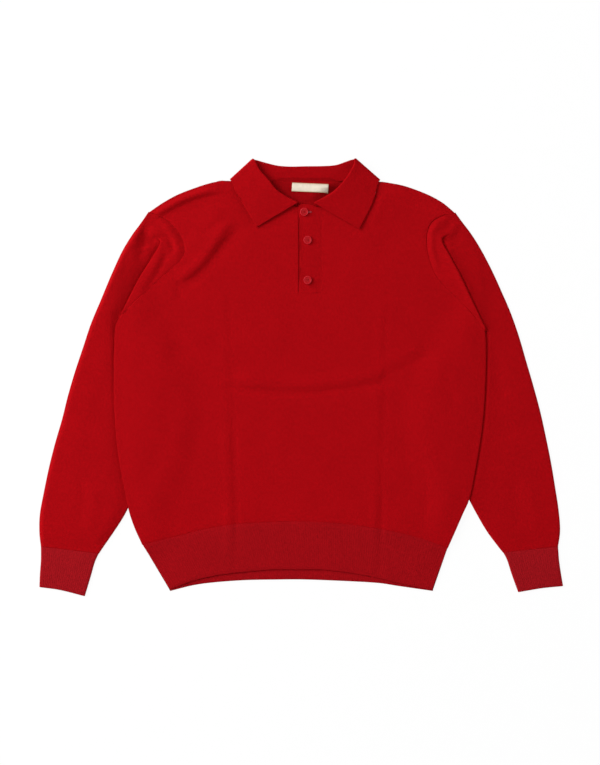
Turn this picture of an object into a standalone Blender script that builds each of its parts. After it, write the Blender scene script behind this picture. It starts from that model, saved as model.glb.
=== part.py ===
"""A fine-knit polo sweater with long sleeves, laid flat on its back.

+X is the viewer's right, +Y points from hem to collar and +Z up from the surface it lies on.
Every size below is in millimetres. Two layers of cloth lie on each other: the back panel, then
the front. The sleeves are flattened tubes whose inner edges are tucked beneath the body, and the
collar is one strip that stands, rolls over and falls, in front over the front panel and behind
beneath the back panel.
"""
import math

import bmesh
import bpy
import numpy as np

MM = 0.001

# Driving dimensions: thicknesses and levels
PANEL = 1.6  # wall of the plain knit
SEAM = 0.3  # gap between neighbouring pieces
LAYER = PANEL + SEAM  # from one layer of cloth to the next
SLEEVE = 2 * PANEL + SEAM  # both layers of a flattened sleeve
TIP_DEPTH = 1.2  # how far the flat of a sleeve lies inside its rounded edge
TUCK = SLEEVE + SEAM  # height of the body where a sleeve lies beneath it
TUCK_FLAT = 24.0  # how far that height reaches past the tucked cloth
TUCK_SLOPE = 28.0  # width of the slope down to the surface
LOFT = 1.3  # air between front and back, away from the seams
LOFT_WIDTH = 22.0
LEAST_LOFT = 0.3  # air left beneath the bottom of a fold

# Driving dimensions: collar
COLLAR_WALL = 1.6
COLLAR_FOLD = 1.05  # radius of the roll, to the middle of the wall
COLLAR_LIFT = 2.1  # height of the back panel over the fall of the collar
COLLAR_MIDDLE = 3.95  # level about which the collar folds at the shoulders
COLLAR_LEAF_SHARES = (0.28, 0.6, 0.84, 1.0)  # rows of points from the roll to the outer edge
FALL_FLAT = 8.0  # how far the back panel stays level past the fall
FALL_SLOPE = 25.0
NECK_LEVEL = 4.2  # underside of the front panel beneath the collar's leaves
NECK_FLAT = 10.0
NECK_SLOPE = 35.0
NECK_EASE = 1.1  # from the neck edge of a panel to the collar

# Driving dimensions: the fold of cloth over the top of a sleeve, beside the armhole
FOLD_RISE = 1.2  # its crest above the sleeve
FOLD_UNDER_RISE = 2.8  # more height toward the underarm, where the body lies on it
FOLD_RISE_SHARE = 0.35  # share of the armhole over which the crest rises
FOLD_FOOT_SHARE = 0.1  # share of the crest's height left at its outer foot

# Driving dimensions: ribs, bands, buttons, label
RIB_PITCH = 3.75
RIB_HEIGHT = 0.5
RIB_WALL = 1.5  # wall in the valley between two ribs
BAND_STEP = 2.0  # top band above under band
BAND_BOTTOM = 136.0
BAND_CUT_LEFT = -3.2
BAND_CUT_RIGHT = 31.7
UNDER_BAND = (  # x, y of the top end, height above the front panel's level
    (-2.9, 276.6, 0.0), (6.4, 277.2, 0.0), (15.7, 276.8, 0.0), (25.0, 275.0, 0.0),
)
TOP_BAND = (
    (-2.6, 277.0, BAND_STEP), (8.0, 277.8, BAND_STEP), (18.0, 277.0, BAND_STEP),
    (26.2, 273.4, BAND_STEP), (31.4, 272.6, 0.2),
)
FREE_EDGE = (  # y, and how far the top band's free edge wanders sideways there
    (136.0, -2.6), (180.0, -0.6), (202.0, 0.2), (240.0, -1.8), (278.0, -2.2),
)
BUTTON_RADIUS = 6.3
BUTTON_HEIGHT = 2.6
BUTTON_HOLE_RADIUS = 0.8
BUTTON_HOLE_SPREAD = 1.5
BUTTON_SIDES = 24
BUTTON_PROFILE = (  # share of the radius, share of the height
    (0.0, 0.0), (0.82, 0.0), (1.0, 0.2), (1.0, 0.7), (0.86, 1.0), (0.7, 0.86), (0.0, 0.72),
)
BUTTONS = (  # x, y
    (5.1, 265.0),
    (10.6, 220.2),
    (10.6, 156.2),
)
LABEL_WALL = 0.8
LABEL = (  # x, y of its corners, clockwise from the top left
    (-13.9, 312.2),
    (44.0, 309.2),
    (43.2, 295.2),
    (-15.0, 298.2),
)

# How many cells each edge of a panel is cut into
ARMHOLE_CELLS = 11
SIDE_CELLS = 13
NECK_CELLS = 5
BAND_CELLS = 5
BAND_ROWS = 9
HEM_CELLS = 24
LABEL_CELLS = 4
COLUMN_SHARES = (0, 0.06, 0.15, 0.25, 0.36, 0.47, 0.56, 0.635, 0.72, 0.81, 0.9, 1)
BACK_NECK_CELLS = 5
PLAIN_SHARES = np.linspace(0.0, 1.0, 7)  # across the plain side of a ribbed cuff
SHOULDER_EASE = 1.5  # how far the sleeve's first ring keeps clear of the shoulder point
COLLAR_FRONT_CELLS = 10

# Outlines, each row x, y. The wearer's right is on the viewer's left, here called left.
SIDES = {
    "left": {
        "shoulder": (  # from the neck to the shoulder point
            (-80.8, 315.2), (-100.0, 313.6), (-113.0, 313.6), (-126.0, 314.2), (-140.0, 312.6),
            (-161.0, 306.8), (-194.4, 294.4), (-218.4, 281.6), (-237.6, 268.8), (-244.0, 264.0),
        ),
        "front_armhole": (  # from the shoulder point to the underarm
            (-244.0, 264.0), (-228.0, 259.2), (-208.8, 246.4), (-192.8, 227.2), (-186.4, 206.4),
            (-192.8, 188.8), (-210.4, 172.8), (-229.6, 155.2), (-248.8, 137.6), (-269.6, 118.4),
            (-288.8, 99.2),
        ),
        "back_armhole": (
            (-244.0, 264.0), (-245.0, 235.0), (-250.0, 200.0), (-259.0, 165.0), (-271.0, 130.0),
            (-288.8, 99.2),
        ),
        "side": (  # from the underarm to the top of the hem rib
            (-288.8, 99.2), (-296.8, 80.0), (-298.4, 44.8), (-299.2, -3.2), (-297.6, -59.2),
            (-292.0, -121.6), (-278.0, -198.4), (-268.0, -233.6), (-253.6, -266.4),
        ),
        "sleeve_outer": (  # from the shoulder point to the cuff
            (-244.0, 264.0), (-250.4, 254.4), (-258.4, 243.2), (-269.6, 228.0), (-285.6, 201.6),
            (-303.2, 163.2), (-319.2, 124.8), (-335.2, 86.4), (-348.0, 48.0), (-360.8, 9.6),
            (-372.0, -28.8), (-381.6, -67.2), (-392.8, -105.6), (-402.4, -144.0),
            (-410.4, -182.4), (-416.8, -217.6), (-417.6, -246.4), (-415.2, -268.8),
        ),
        "sleeve_inner": (  # from the underarm, beneath the body, to the cuff
            (-289.6, 99.0), (-290.4, 98.4), (-292.6, 94.4), (-293.6, 89.6), (-292.8, 81.6),
            (-287.2, 70.4), (-271.2, 54.4), (-250.4, 32.0), (-234.4, 0.0), (-228.0, -38.4),
            (-229.6, -76.8), (-239.2, -118.4), (-253.6, -160.0), (-271.2, -195.2),
            (-284.0, -220.8), (-301.6, -248.0), (-316.0, -268.8), (-324.0, -280.0),
        ),
        "fold_top": (  # crest of the fold where the body lies over the sleeve
            (-250.4, 254.4), (-239.0, 230.0), (-224.0, 217.0), (-240.0, 188.0),
            (-257.5, 160.0), (-273.5, 129.0), (-290.4, 98.4),
        ),
        "fold_foot": (
            (-258.4, 243.2), (-247.0, 226.0), (-236.0, 211.0), (-246.0, 188.0),
            (-263.5, 160.0), (-279.0, 130.0), (-292.6, 94.4),
        ),
        "under_fold_top": (  # the sleeve's lower layer beneath that fold
            (-250.4, 254.4), (-256.0, 228.0), (-263.0, 195.0), (-272.0, 160.0), (-281.0, 130.0),
            (-290.4, 98.4),
        ),
        "under_fold_foot": (
            (-258.4, 243.2), (-266.0, 215.0), (-274.0, 185.0), (-281.0, 155.0), (-287.0, 125.0),
            (-292.6, 94.4),
        ),
        "cuff_end": ((-417.6, -334.4), (-384.8, -337.6), (-346.4, -348.8)),
        "cuff_outer": ((-415.2, -268.8), (-415.2, -291.2), (-416.8, -313.6), (-417.6, -334.4)),
        "cuff_inner": ((-324.0, -280.0), (-330.4, -294.4), (-336.8, -316.8), (-346.4, -348.8)),
    },
    "right": {
        "shoulder": (
            (92.8, 315.2), (111.2, 313.6), (124.0, 313.6), (137.0, 312.4), (167.2, 306.4),
            (200.8, 294.1), (224.8, 281.3), (240.8, 268.5), (247.2, 262.4),
        ),
        "front_armhole": (
            (247.2, 262.4), (228.0, 259.2), (210.4, 249.6), (202.4, 232.0), (201.6, 211.2),
            (205.6, 188.8), (213.6, 168.0), (226.4, 150.4), (247.2, 131.2), (271.2, 105.6),
            (294.4, 75.2),
        ),
        "back_armhole": (
            (247.2, 262.4), (248.0, 235.0), (253.0, 200.0), (261.0, 160.0), (273.0, 115.0),
            (294.4, 75.2),
        ),
        "side": (
            (294.4, 75.2), (295.6, 44.8), (294.4, -11.2), (290.4, -70.4), (280.8, -134.4),
            (269.6, -190.4), (257.6, -219.2), (234.6, -272.0),
        ),
        "sleeve_outer": (
            (247.2, 262.4), (253.6, 253.6), (261.6, 243.2), (272.8, 228.0), (287.2, 204.8),
            (304.8, 171.2), (320.8, 136.0), (335.2, 102.4), (348.0, 65.6), (359.2, 27.2),
            (370.4, -11.2), (381.6, -52.8), (391.2, -96.0), (399.2, -136.0), (405.6, -174.4),
            (411.2, -211.2), (413.6, -243.2), (410.4, -268.8),
        ),
        "sleeve_inner": (
            (295.2, 75.0), (296.4, 74.4), (298.2, 70.4), (298.4, 65.6), (297.6, 57.6),
            (290.4, 44.8), (274.4, 28.8), (253.6, 6.4), (237.6, -22.4), (229.6, -56.0),
            (229.6, -89.6), (237.6, -124.8), (250.4, -160.0), (264.8, -185.6), (279.2, -212.8),
            (296.8, -243.2), (314.4, -267.2), (324.0, -278.4),
        ),
        "fold_top": (
            (253.6, 253.6), (241.0, 234.0), (225.0, 221.0), (238.5, 193.0), (253.7, 165.0),
            (270.5, 129.6), (285.0, 99.5), (296.4, 74.4),
        ),
        "fold_foot": (
            (261.6, 243.2), (250.0, 226.0), (238.0, 210.0), (246.0, 188.0), (261.0, 160.0),
            (277.0, 127.0), (290.0, 98.0), (298.2, 70.4),
        ),
        "under_fold_top": (
            (253.6, 253.6), (259.0, 228.0), (266.0, 195.0), (275.0, 155.0), (285.0, 112.0),
            (296.4, 74.4),
        ),
        "under_fold_foot": (
            (261.6, 243.2), (269.0, 215.0), (276.0, 185.0), (283.0, 150.0), (291.0, 110.0),
            (298.2, 70.4),
        ),
        "cuff_end": ((418.4, -332.8), (385.0, -334.4), (348.0, -342.4)),
        "cuff_outer": ((410.4, -268.8), (412.0, -291.2), (415.2, -313.6), (418.4, -332.8)),
        "cuff_inner": ((324.0, -278.4), (330.4, -291.2), (337.6, -313.6), (348.0, -342.4)),
    },
}
RIB_TOP = (  # seam between the panels and the hem rib
    (-253.6, -266.4), (-191.2, -251.2), (-157.6, -242.6), (-108.0, -234.2), (-58.4, -231.0),
    (-8.8, -229.3), (40.8, -231.0), (90.4, -236.0), (140.0, -244.2), (189.6, -256.0),
    (234.6, -272.0),
)
FRONT_HEM = (
    (-209.0, -338.0), (-173.6, -324.8), (-141.6, -316.8), (-108.0, -312.0), (-74.4, -308.8),
    (-42.4, -306.4), (24.8, -306.4), (56.8, -308.8), (90.4, -313.6), (124.0, -320.0),
    (156.0, -328.0), (209.6, -339.0),
)
BACK_HEM = (
    (-209.0, -340.0), (-173.6, -330.1), (-141.6, -325.1), (-92.0, -321.3), (-42.4, -320.3),
    (7.2, -320.2), (74.4, -322.9), (124.0, -325.9), (156.0, -331.2), (210.4, -340.0),
)

# The collar's sections from its front end to the middle of the back, each with the points in plan
# of the neck seam, the roll and the outer edge, and how far the section is raised.
COLLAR_FRONT = {
    "left": (  # seam x, y, roll x, y, edge x, y, raised
        (-5.6, 274.4, -4.0, 280.8, -71.2, 240.0, 0.0),
        (-23.2, 278.4, -20.0, 289.6, -76.0, 249.6, 0.0),
        (-44.0, 287.2, -38.1, 301.3, -84.0, 264.0, 0.0),
        (-60.8, 301.6, -50.7, 314.1, -93.6, 279.2, 0.0),
        (-72.0, 312.8, -65.3, 330.4, -103.2, 294.4, 0.0),
        (-77.4, 316.8, -72.0, 342.8, -108.6, 308.4, 0.0),
    ),
    "right": (
        (22.4, 275.2, 20.8, 279.2, 92.8, 237.6, 2.1),
        (39.2, 276.4, 34.4, 286.4, 97.6, 246.4, 1.0),
        (60.8, 287.2, 52.6, 297.6, 104.8, 260.0, 0.2),
        (75.2, 301.6, 67.0, 312.0, 112.0, 274.4, 0.0),
        (84.8, 312.0, 79.8, 330.4, 118.4, 289.6, 0.0),
        (90.0, 316.0, 85.6, 342.8, 121.8, 305.6, 0.0),
    ),
}
COLLAR_SHOULDER = {  # seam x, y, roll x, y, edge x, y of the outermost line of the fold
    "left": (-80.8, 317.9, -77.6, 349.6, -113.9, 317.6),
    "right": (92.8, 317.9, 90.4, 349.6, 126.9, 316.8),
}
COLLAR_BACK = (  # seam x, y, roll x, y, edge x, y, from left to right
    (-74.0, 318.2, -69.0, 345.0, -101.0, 305.0),
    (-63.2, 316.6, -56.8, 342.4, -77.6, 294.4),
    (-44.0, 315.6, -37.6, 338.4, -47.2, 289.6),
    (-20.0, 315.4, -16.8, 336.8, -20.0, 288.0),
    (7.2, 315.4, 7.2, 337.3, 7.2, 288.0),
    (34.4, 315.4, 34.4, 337.6, 36.0, 288.0),
    (55.2, 315.6, 55.2, 339.2, 61.6, 289.6),
    (74.4, 316.6, 71.2, 342.4, 92.0, 294.4),
    (86.0, 318.2, 81.0, 345.0, 113.0, 305.0),
)
FOLD_ANGLES = (90, 45, 0, -45, -90)

# The front's largest folds: troughs and ridges along a path, with a height (below zero for a
# trough) and half a width.
FOLDS = (
    {"height": -1.3, "width": 10, "path": ((-142, -13), (-71, -22), (18, -22), (95, -13), (172, -3))},
    {"height": 1.2, "width": 16, "path": ((-120, 10), (-40, 4), (60, 4), (150, 14))},
    {"height": -1.0, "width": 9, "path": ((134, -6), (159, 13), (210, 38))},
    {"height": -1.2, "width": 9, "path": ((-112, -60), (-109, -134), (-106, -250))},
    {"height": 1.1, "width": 14, "path": ((-132, -60), (-130, -134), (-126, -240))},
    {"height": -1.0, "width": 9, "path": ((137, 96), (130, -198), (127, -250))},
    {"height": -1.4, "width": 12, "path": ((-84, 243), (-122, 211), (-161, 166), (-199, 141))},
    {"height": 1.6, "width": 14, "path": ((-100, 262), (-140, 226), (-176, 190))},
    {"height": -1.3, "width": 9, "path": ((-201, 262), (-170, 236), (-164, 206), (-178, 180))},
    {"height": -1.2, "width": 12, "path": ((-199, 90), (-199, 6), (-212, -83), (-238, -141))},
)

COLOURS = {  # linear red, green, blue; roughness
    "knit": ((0.381, 0.003, 0.005), 0.92),
    "rib": ((0.323, 0.006, 0.008), 0.95),
    "button": ((0.42, 0.012, 0.018), 0.3),
    "label": ((0.82, 0.70, 0.55), 0.8),
}


# Curves and distances in plan

def smooth(share):
    """Eases from 0 to 1."""
    share = np.clip(share, 0.0, 1.0)
    return share * share * (3.0 - 2.0 * share)


def curve(points, shares):
    """Points on the smooth curve through the given ones, at shares of its length."""
    points = np.asarray(points, float)
    ends = np.vstack([2 * points[0] - points[1], points, 2 * points[-1] - points[-2]])
    steps = np.linspace(0.0, 1.0, 12, endpoint=False)[:, None]
    dense = []
    for a, b, c, d in zip(ends, ends[1:], ends[2:], ends[3:]):
        dense.append(
            0.5 * (2 * b + (c - a) * steps + (2 * a - 5 * b + 4 * c - d) * steps**2
                   + (3 * b - a - 3 * c + d) * steps**3)
        )
    dense = np.vstack(dense + [points[-1:]])
    length = np.concatenate([[0.0], np.cumsum(np.linalg.norm(np.diff(dense[:, :2], axis=0), axis=1))])
    wanted = np.asarray(shares, float) * length[-1]
    return np.stack([np.interp(wanted, length, column) for column in dense.T], axis=-1)


def evenly(points, cells):
    return curve(points, np.linspace(0.0, 1.0, cells + 1))


def joined(*runs):
    """Runs of points end to end, each one's first point dropped where it repeats the last."""
    return np.vstack([runs[0]] + [run[1:] for run in runs[1:]])


def moved_sideways(path, distance):
    """An open path moved to its left by a distance, its corners kept sharp."""
    along = np.diff(path, axis=0)
    along /= np.linalg.norm(along, axis=1, keepdims=True)
    normal = np.stack([-along[:, 1], along[:, 0]], axis=1)
    corner = np.vstack([normal[:1], normal[:-1] + normal[1:], normal[-1:]])
    corner /= np.linalg.norm(corner, axis=1, keepdims=True)
    lean = np.einsum("ij,ij->i", corner, np.vstack([normal[:1], normal]))
    return path + corner * (distance / lean)[:, None]


def distance_to(points, path):
    """Distance in plan from each point to a path."""
    points = np.asarray(points, float)
    nearest = np.full(points.shape[:-1], np.inf)
    for start, end in zip(np.asarray(path, float)[:-1], np.asarray(path, float)[1:]):
        along = end - start
        share = np.clip(((points - start) @ along) / (along @ along), 0.0, 1.0)
        gap = np.linalg.norm(points - start - share[..., None] * along, axis=-1)
        nearest = np.minimum(nearest, gap)
    return nearest


def distance_to_area(points, outline):
    """Distance in plan to a closed outline, 0 inside it."""
    outline = np.asarray(outline, float)
    closed = np.vstack([outline, outline[:1]])
    x, y = points[..., 0], points[..., 1]
    crossings = np.zeros(x.shape, int)
    for (x0, y0), (x1, y1) in zip(closed[:-1], closed[1:]):
        if y0 != y1:
            spans = (y0 > y) != (y1 > y)
            crossings += spans & (x < x0 + (y - y0) * (x1 - x0) / (y1 - y0))
    return np.where(crossings % 2 == 1, 0.0, distance_to(points, closed))


# Levels: how high the cloth lies at a point in plan

def tucked_area(side):
    """Where a sleeve lies beneath the body."""
    table = SIDES[side]
    return np.vstack([table["side"][:-1], table["sleeve_inner"][13:3:-1]])


def fall_area():
    """Where the collar lies beneath the back panel."""
    rows = np.array(COLLAR_BACK)
    left = np.array([COLLAR_SHOULDER["left"][4:]])
    right = np.array([COLLAR_SHOULDER["right"][4:]])
    return np.vstack([left, rows[:, 4:6], right, rows[::-1, 2:4]])


def leaf_area(side):
    """Where a leaf of the collar lies over the front panel."""
    rows = np.array(COLLAR_FRONT[side])
    corner = np.array([COLLAR_SHOULDER[side][4:]])
    return np.vstack([rows[:, 4:6], corner, rows[::-1, 2:4]])


def back_level(points):
    """Underside of the back panel."""
    level = np.zeros(points.shape[:-1])
    for side in SIDES:
        gap = distance_to_area(points, tucked_area(side))
        level = np.maximum(level, TUCK * (1.0 - smooth((gap - TUCK_FLAT) / TUCK_SLOPE)))
    gap = distance_to_area(points, fall_area())
    return np.maximum(level, COLLAR_LIFT * (1.0 - smooth((gap - FALL_FLAT) / FALL_SLOPE)))


def front_edges():
    """The seams where the front panel lies close on the back."""
    for table in SIDES.values():
        yield table["shoulder"]
        yield table["side"]
    yield RIB_TOP


def front_level(points):
    """Underside of the front panel."""
    edge = np.full(points.shape[:-1], np.inf)
    for path in front_edges():
        edge = np.minimum(edge, distance_to(points, path))
    inward = 1.0 - np.exp(-((edge / LOFT_WIDTH) ** 2))
    loft = LOFT * inward
    for fold in FOLDS:
        gap = distance_to(points, fold["path"])
        loft = loft + fold["height"] * inward * np.exp(-((gap / fold["width"]) ** 2))
    level = back_level(points) + LAYER + np.maximum(loft, LEAST_LOFT * inward)
    for side in SIDES:
        gap = distance_to_area(points, leaf_area(side))
        under_leaf = 1.0 - smooth((gap - NECK_FLAT) / NECK_SLOPE)
        level = level + (NECK_LEVEL - level) * under_leaf
    return level


# Meshes

def material(name, kind):
    colour, roughness = COLOURS[kind]
    made = bpy.data.materials.new(name)
    made.use_nodes = True
    shader = made.node_tree.nodes["Principled BSDF"]
    shader.inputs["Base Color"].default_value = (*colour, 1.0)
    shader.inputs["Roughness"].default_value = roughness
    shader.inputs["Metallic"].default_value = 0.0
    return made


def add_object(name, kind, vertices, faces, parent, flat=False):
    """One closed piece from points in millimetres."""
    mesh = bpy.data.meshes.new(name)
    mesh.from_pydata([tuple(point) for point in np.asarray(vertices) * MM], [], faces)
    work = bmesh.new()
    work.from_mesh(mesh)
    bmesh.ops.recalc_face_normals(work, faces=work.faces)
    work.to_mesh(mesh)
    work.free()
    if not flat:
        mesh.shade_smooth()
        mesh.set_sharp_from_angle(angle=math.radians(50))
    mesh.materials.append(material(name, kind))
    made = bpy.data.objects.new(name, mesh)
    bpy.context.scene.collection.objects.link(made)
    made.parent = parent
    return made


def zipped(first, second):
    """Triangles between two runs of vertex numbers, each evenly shared out from end to end."""
    faces = []
    i = j = 0
    while i < len(first) - 1 or j < len(second) - 1:
        ahead_first = (i + 1) / (len(first) - 1)
        ahead_second = (j + 1) / (len(second) - 1)
        if j == len(second) - 1 or (i < len(first) - 1 and ahead_first <= ahead_second):
            faces.append((first[i], first[i + 1], second[j]))
            i += 1
        else:
            faces.append((first[i], second[j + 1], second[j]))
            j += 1
    return faces


def wall(plan, low, high, missing=()):
    """A closed wall over a grid of plan points, between two levels, with some cells missing."""
    rows, columns = plan.shape[:2]
    number = np.arange(rows * columns).reshape(rows, columns)
    flat_plan = plan.reshape(-1, 2)
    vertices = np.vstack([
        np.column_stack([flat_plan, low.reshape(-1)]),
        np.column_stack([flat_plan, high.reshape(-1)]),
    ])
    over = rows * columns
    faces = []
    edges = {}
    for i in range(rows - 1):
        for j in range(columns - 1):
            if (i, j) in missing:
                continue
            cell = [number[i, j], number[i, j + 1], number[i + 1, j + 1], number[i + 1, j]]
            for a, b, c in ((0, 1, 2), (0, 2, 3)):
                corner = [int(cell[a]), int(cell[b]), int(cell[c])]
                faces.append([v + over for v in corner])
                faces.append(corner[::-1])
            for a, b in zip(cell, cell[1:] + cell[:1]):
                key = (int(min(a, b)), int(max(a, b)))
                edges[key] = edges.get(key, 0) + 1
    for (a, b), uses in edges.items():
        if uses == 1:
            faces.append((a, b, b + over, a + over))
    return without_loose(vertices, faces)


def without_loose(vertices, faces):
    """The same mesh with the points dropped that no face uses."""
    used = sorted({v for face in faces for v in face})
    place = {v: i for i, v in enumerate(used)}
    return vertices[used], [tuple(place[v] for v in face) for face in faces]


def patch(top, bottom, left, right, columns, rows):
    """Grid of plan points between four edges, at the given shares of columns and rows."""
    u = np.asarray(columns)[None, :, None]
    v = np.asarray(rows)[:, None, None]
    across = (1 - v) * top[None] + v * bottom[None]
    down = (1 - u) * left[:, None] + u * right[:, None]
    corners = (1 - v) * ((1 - u) * top[0] + u * top[-1]) + v * ((1 - u) * bottom[0] + u * bottom[-1])
    return across + down - corners


# Body panels

def hem_shares():
    """Where along the rib seam the band's two edges come down."""
    cells = 400
    across = evenly(RIB_TOP, cells)[:, 0]
    return [float(np.argmin(np.abs(across - x))) / cells for x in (BAND_CUT_LEFT, BAND_CUT_RIGHT)]


def half_panel(side, armhole):
    """Half of a body panel, its columns running away from the centre."""
    table = SIDES[side]
    rows = np.linspace(0.0, 1.0, ARMHOLE_CELLS + SIDE_CELLS + 1)
    outer = joined(evenly(table[armhole], ARMHOLE_CELLS), evenly(table["side"], SIDE_CELLS))
    seam = np.array(COLLAR_FRONT[side])[::-1, :2]
    cut = BAND_CUT_LEFT if side == "left" else BAND_CUT_RIGHT
    away = -1.0 if side == "left" else 1.0
    neck = np.vstack([table["shoulder"][0], seam[:-1] - (0.0, NECK_EASE),
                      (cut, seam[-1][1] - NECK_EASE)])
    share = hem_shares()[0 if side == "left" else 1]
    down = np.linspace(0.0, 1.0, SIDE_CELLS + ARMHOLE_CELLS - NECK_CELLS - BAND_CELLS + 1)
    foot = curve(RIB_TOP, [share])[0]
    centre = (1 - down)[:, None] * (cut, BAND_BOTTOM) + down[:, None] * foot
    band = np.linspace(neck[-1], (cut, BAND_BOTTOM), BAND_CELLS + 1)
    inner = joined(evenly(neck, NECK_CELLS), band, centre)
    columns = 1.0 - np.array(COLUMN_SHARES)[::-1]
    top = curve(table["shoulder"], columns)
    hem_end = 0.0 if away < 0 else 1.0
    bottom = curve(RIB_TOP, share + (hem_end - share) * columns)
    return patch(top, bottom, inner, outer, columns, rows)


def make_front(parent):
    left = half_panel("left", "front_armhole")[:, ::-1]
    right = half_panel("right", "front_armhole")
    plan = np.concatenate([left, right], axis=1)
    middle = left.shape[1] - 1
    missing = {(i, middle) for i in range(NECK_CELLS + BAND_CELLS)}
    low = front_level(plan)
    vertices, faces = wall(plan, low, low + PANEL, missing)
    return add_object("front", "knit", vertices, faces, parent)


def make_back(parent):
    left = half_panel("left", "back_armhole")[:, ::-1]
    right = half_panel("right", "back_armhole")
    share = np.linspace(0.0, 1.0, BACK_NECK_CELLS + 1)[None, 1:-1, None]
    middle = (1 - share) * left[:, -1:] + share * right[:, :1]
    plan = np.concatenate([left, middle, right], axis=1)
    low = back_level(plan)
    vertices, faces = wall(plan, low, low + PANEL)
    return add_object("back", "knit", vertices, faces, parent)


# Hem ribs

def make_back_hem(parent):
    shares = np.linspace(0.0, 1.0, HEM_CELLS + 1)
    top = curve(RIB_TOP, shares) - (0.0, SEAM)
    bottom = curve(BACK_HEM, shares)
    down = np.linspace(0.0, 1.0, 3)[:, None, None]
    plan = (1 - down) * top + down * bottom
    low = np.zeros(plan.shape[:2])
    vertices, faces = wall(plan, low, low + PANEL)
    return add_object("hem_rib_back", "rib", vertices, faces, parent)


def make_front_hem(parent):
    """The ribs are raised on its outside, and its inside is plain."""
    width = np.linalg.norm(np.subtract(RIB_TOP[-1], RIB_TOP[0]))
    ribs = round(width / RIB_PITCH)
    fine = np.linspace(0.0, 1.0, 2 * ribs + 1)
    coarse = np.linspace(0.0, 1.0, HEM_CELLS + 1)
    raised = RIB_HEIGHT * (np.arange(2 * ribs + 1) % 2)
    rows = []
    for shares, level in ((fine, LAYER + RIB_WALL + raised), (coarse, np.full(HEM_CELLS + 1, LAYER))):
        for edge in (curve(RIB_TOP, shares) - (0.0, SEAM), curve(FRONT_HEM, shares)):
            rows.append(np.column_stack([edge, level]))
    vertices = np.vstack(rows)
    starts = np.cumsum([0] + [len(row) for row in rows])
    runs = [list(range(a, b)) for a, b in zip(starts, starts[1:])]
    over_top, over_hem, under_top, under_hem = runs
    faces = zipped(over_top, over_hem) + zipped(under_top, under_hem)
    faces += zipped(over_top, under_top) + zipped(over_hem, under_hem)
    faces.append((over_top[0], over_hem[0], under_hem[0], under_top[0]))
    faces.append((over_top[-1], over_hem[-1], under_hem[-1], under_top[-1]))
    return add_object("hem_rib_front", "rib", vertices, faces, parent, flat=True)


# Sleeves and cuffs

def drawn_in(run, depth):
    """A run across a sleeve with both of its ends drawn in."""
    run = run.copy()
    for end, inner in ((0, 1), (-1, -2)):
        along = run[inner, :2] - run[end, :2]
        run[end, :2] += along / np.linalg.norm(along) * depth
    return run


def flat_ring(over, under, thickness, inside_over=None, inside_under=None):
    """A flattened ring of cloth, from runs of points across its top and its underside.

    It gives the outside with both of its tips, then its underside, and the same for the inside.
    """
    down = np.array((0.0, 0.0, thickness))
    runs = []
    for depth, top, bottom in (
        (0.0, over, under),
        (thickness, over - down if inside_over is None else inside_over,
         under + down if inside_under is None else inside_under),
    ):
        tips = []
        for end, inner in ((0, 1), (-1, -2)):
            middle = 0.5 * (over[end] + under[end])
            along = 0.5 * (over[inner] + under[inner]) - middle
            along[2] = 0.0
            tips.append(middle + along / np.linalg.norm(along) * depth)
        top = drawn_in(top, depth + TIP_DEPTH)
        bottom = drawn_in(bottom, depth + TIP_DEPTH)
        runs += [np.vstack([tips[0], top, tips[1]]), bottom[::-1]]
    return runs


def tube(rings):
    """A closed wall from flattened rings, open at both of its ends."""
    vertices = np.vstack([run for ring in rings for run in ring])
    numbers = []
    start = 0
    for ring in rings:
        runs = []
        for run in ring:
            runs.append(list(range(start, start + len(run))))
            start += len(run)
        numbers.append(runs)
    faces = []
    for near, far in zip(numbers, numbers[1:]):
        for over, under in ((0, 1), (2, 3)):
            first, second = near[over] + near[under], far[over] + far[under]
            for a, b, c, d in zip(first, first[1:] + first[:1], second[1:] + second[:1], second):
                faces.append((a, b, c, d))
    for over, under, inside_over, inside_under in (numbers[0], numbers[-1]):
        faces += zipped(over, inside_over)
        faces += zipped(
            [over[-1], *under, over[0]], [inside_over[-1], *inside_under, inside_over[0]]
        )
    return vertices, faces


def raised_to(plan, level):
    """Plan points with a level added to each."""
    return np.column_stack([plan, np.broadcast_to(level, len(plan))])


def make_sleeve(side, parent):
    table = SIDES[side]
    turn = 1.0 if side == "left" else -1.0
    shares = np.linspace(0.0, 1.0, ARMHOLE_CELLS + 1)
    rings = []

    over = moved_sideways(evenly(table["front_armhole"], ARMHOLE_CELLS), -turn * SEAM)
    under = moved_sideways(evenly(table["back_armhole"], ARMHOLE_CELLS), -turn * SEAM)
    outline = np.subtract(table["sleeve_outer"][1], table["sleeve_outer"][0])
    for run in (over, under):
        run[0] += outline / np.linalg.norm(outline) * SHOULDER_EASE
    rings.append((raised_to(over, front_level(over) + PANEL), raised_to(under, back_level(under))))

    over = curve(table["fold_top"], shares)
    under = curve(table["under_fold_top"], shares)
    rise = FOLD_RISE + FOLD_UNDER_RISE * shares
    crest = SLEEVE + smooth(shares / FOLD_RISE_SHARE) * rise
    over_back = back_level(over) + SLEEVE + SEAM
    sunk = 0.5 * back_level(under) * smooth(shares)
    rings.append((raised_to(over, np.maximum(crest, over_back)), raised_to(under, sunk)))

    over = curve(table["fold_foot"], shares)
    under = curve(table["under_fold_foot"], shares)
    foot = SLEEVE + FOLD_FOOT_SHARE * (crest - SLEEVE)
    rings.append((raised_to(over, foot), raised_to(under, 0.0)))

    for outer, inner in zip(table["sleeve_outer"][3:], table["sleeve_inner"][3:]):
        across = (1 - shares)[:, None] * outer + shares[:, None] * inner
        rings.append((raised_to(across, SLEEVE), raised_to(across, 0.0)))
    for run in rings[-1]:
        run[:, 1] += SEAM
    vertices, faces = tube([flat_ring(*ring, PANEL) for ring in rings])
    return add_object(f"sleeve_{side}", "knit", vertices, faces, parent)


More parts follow.
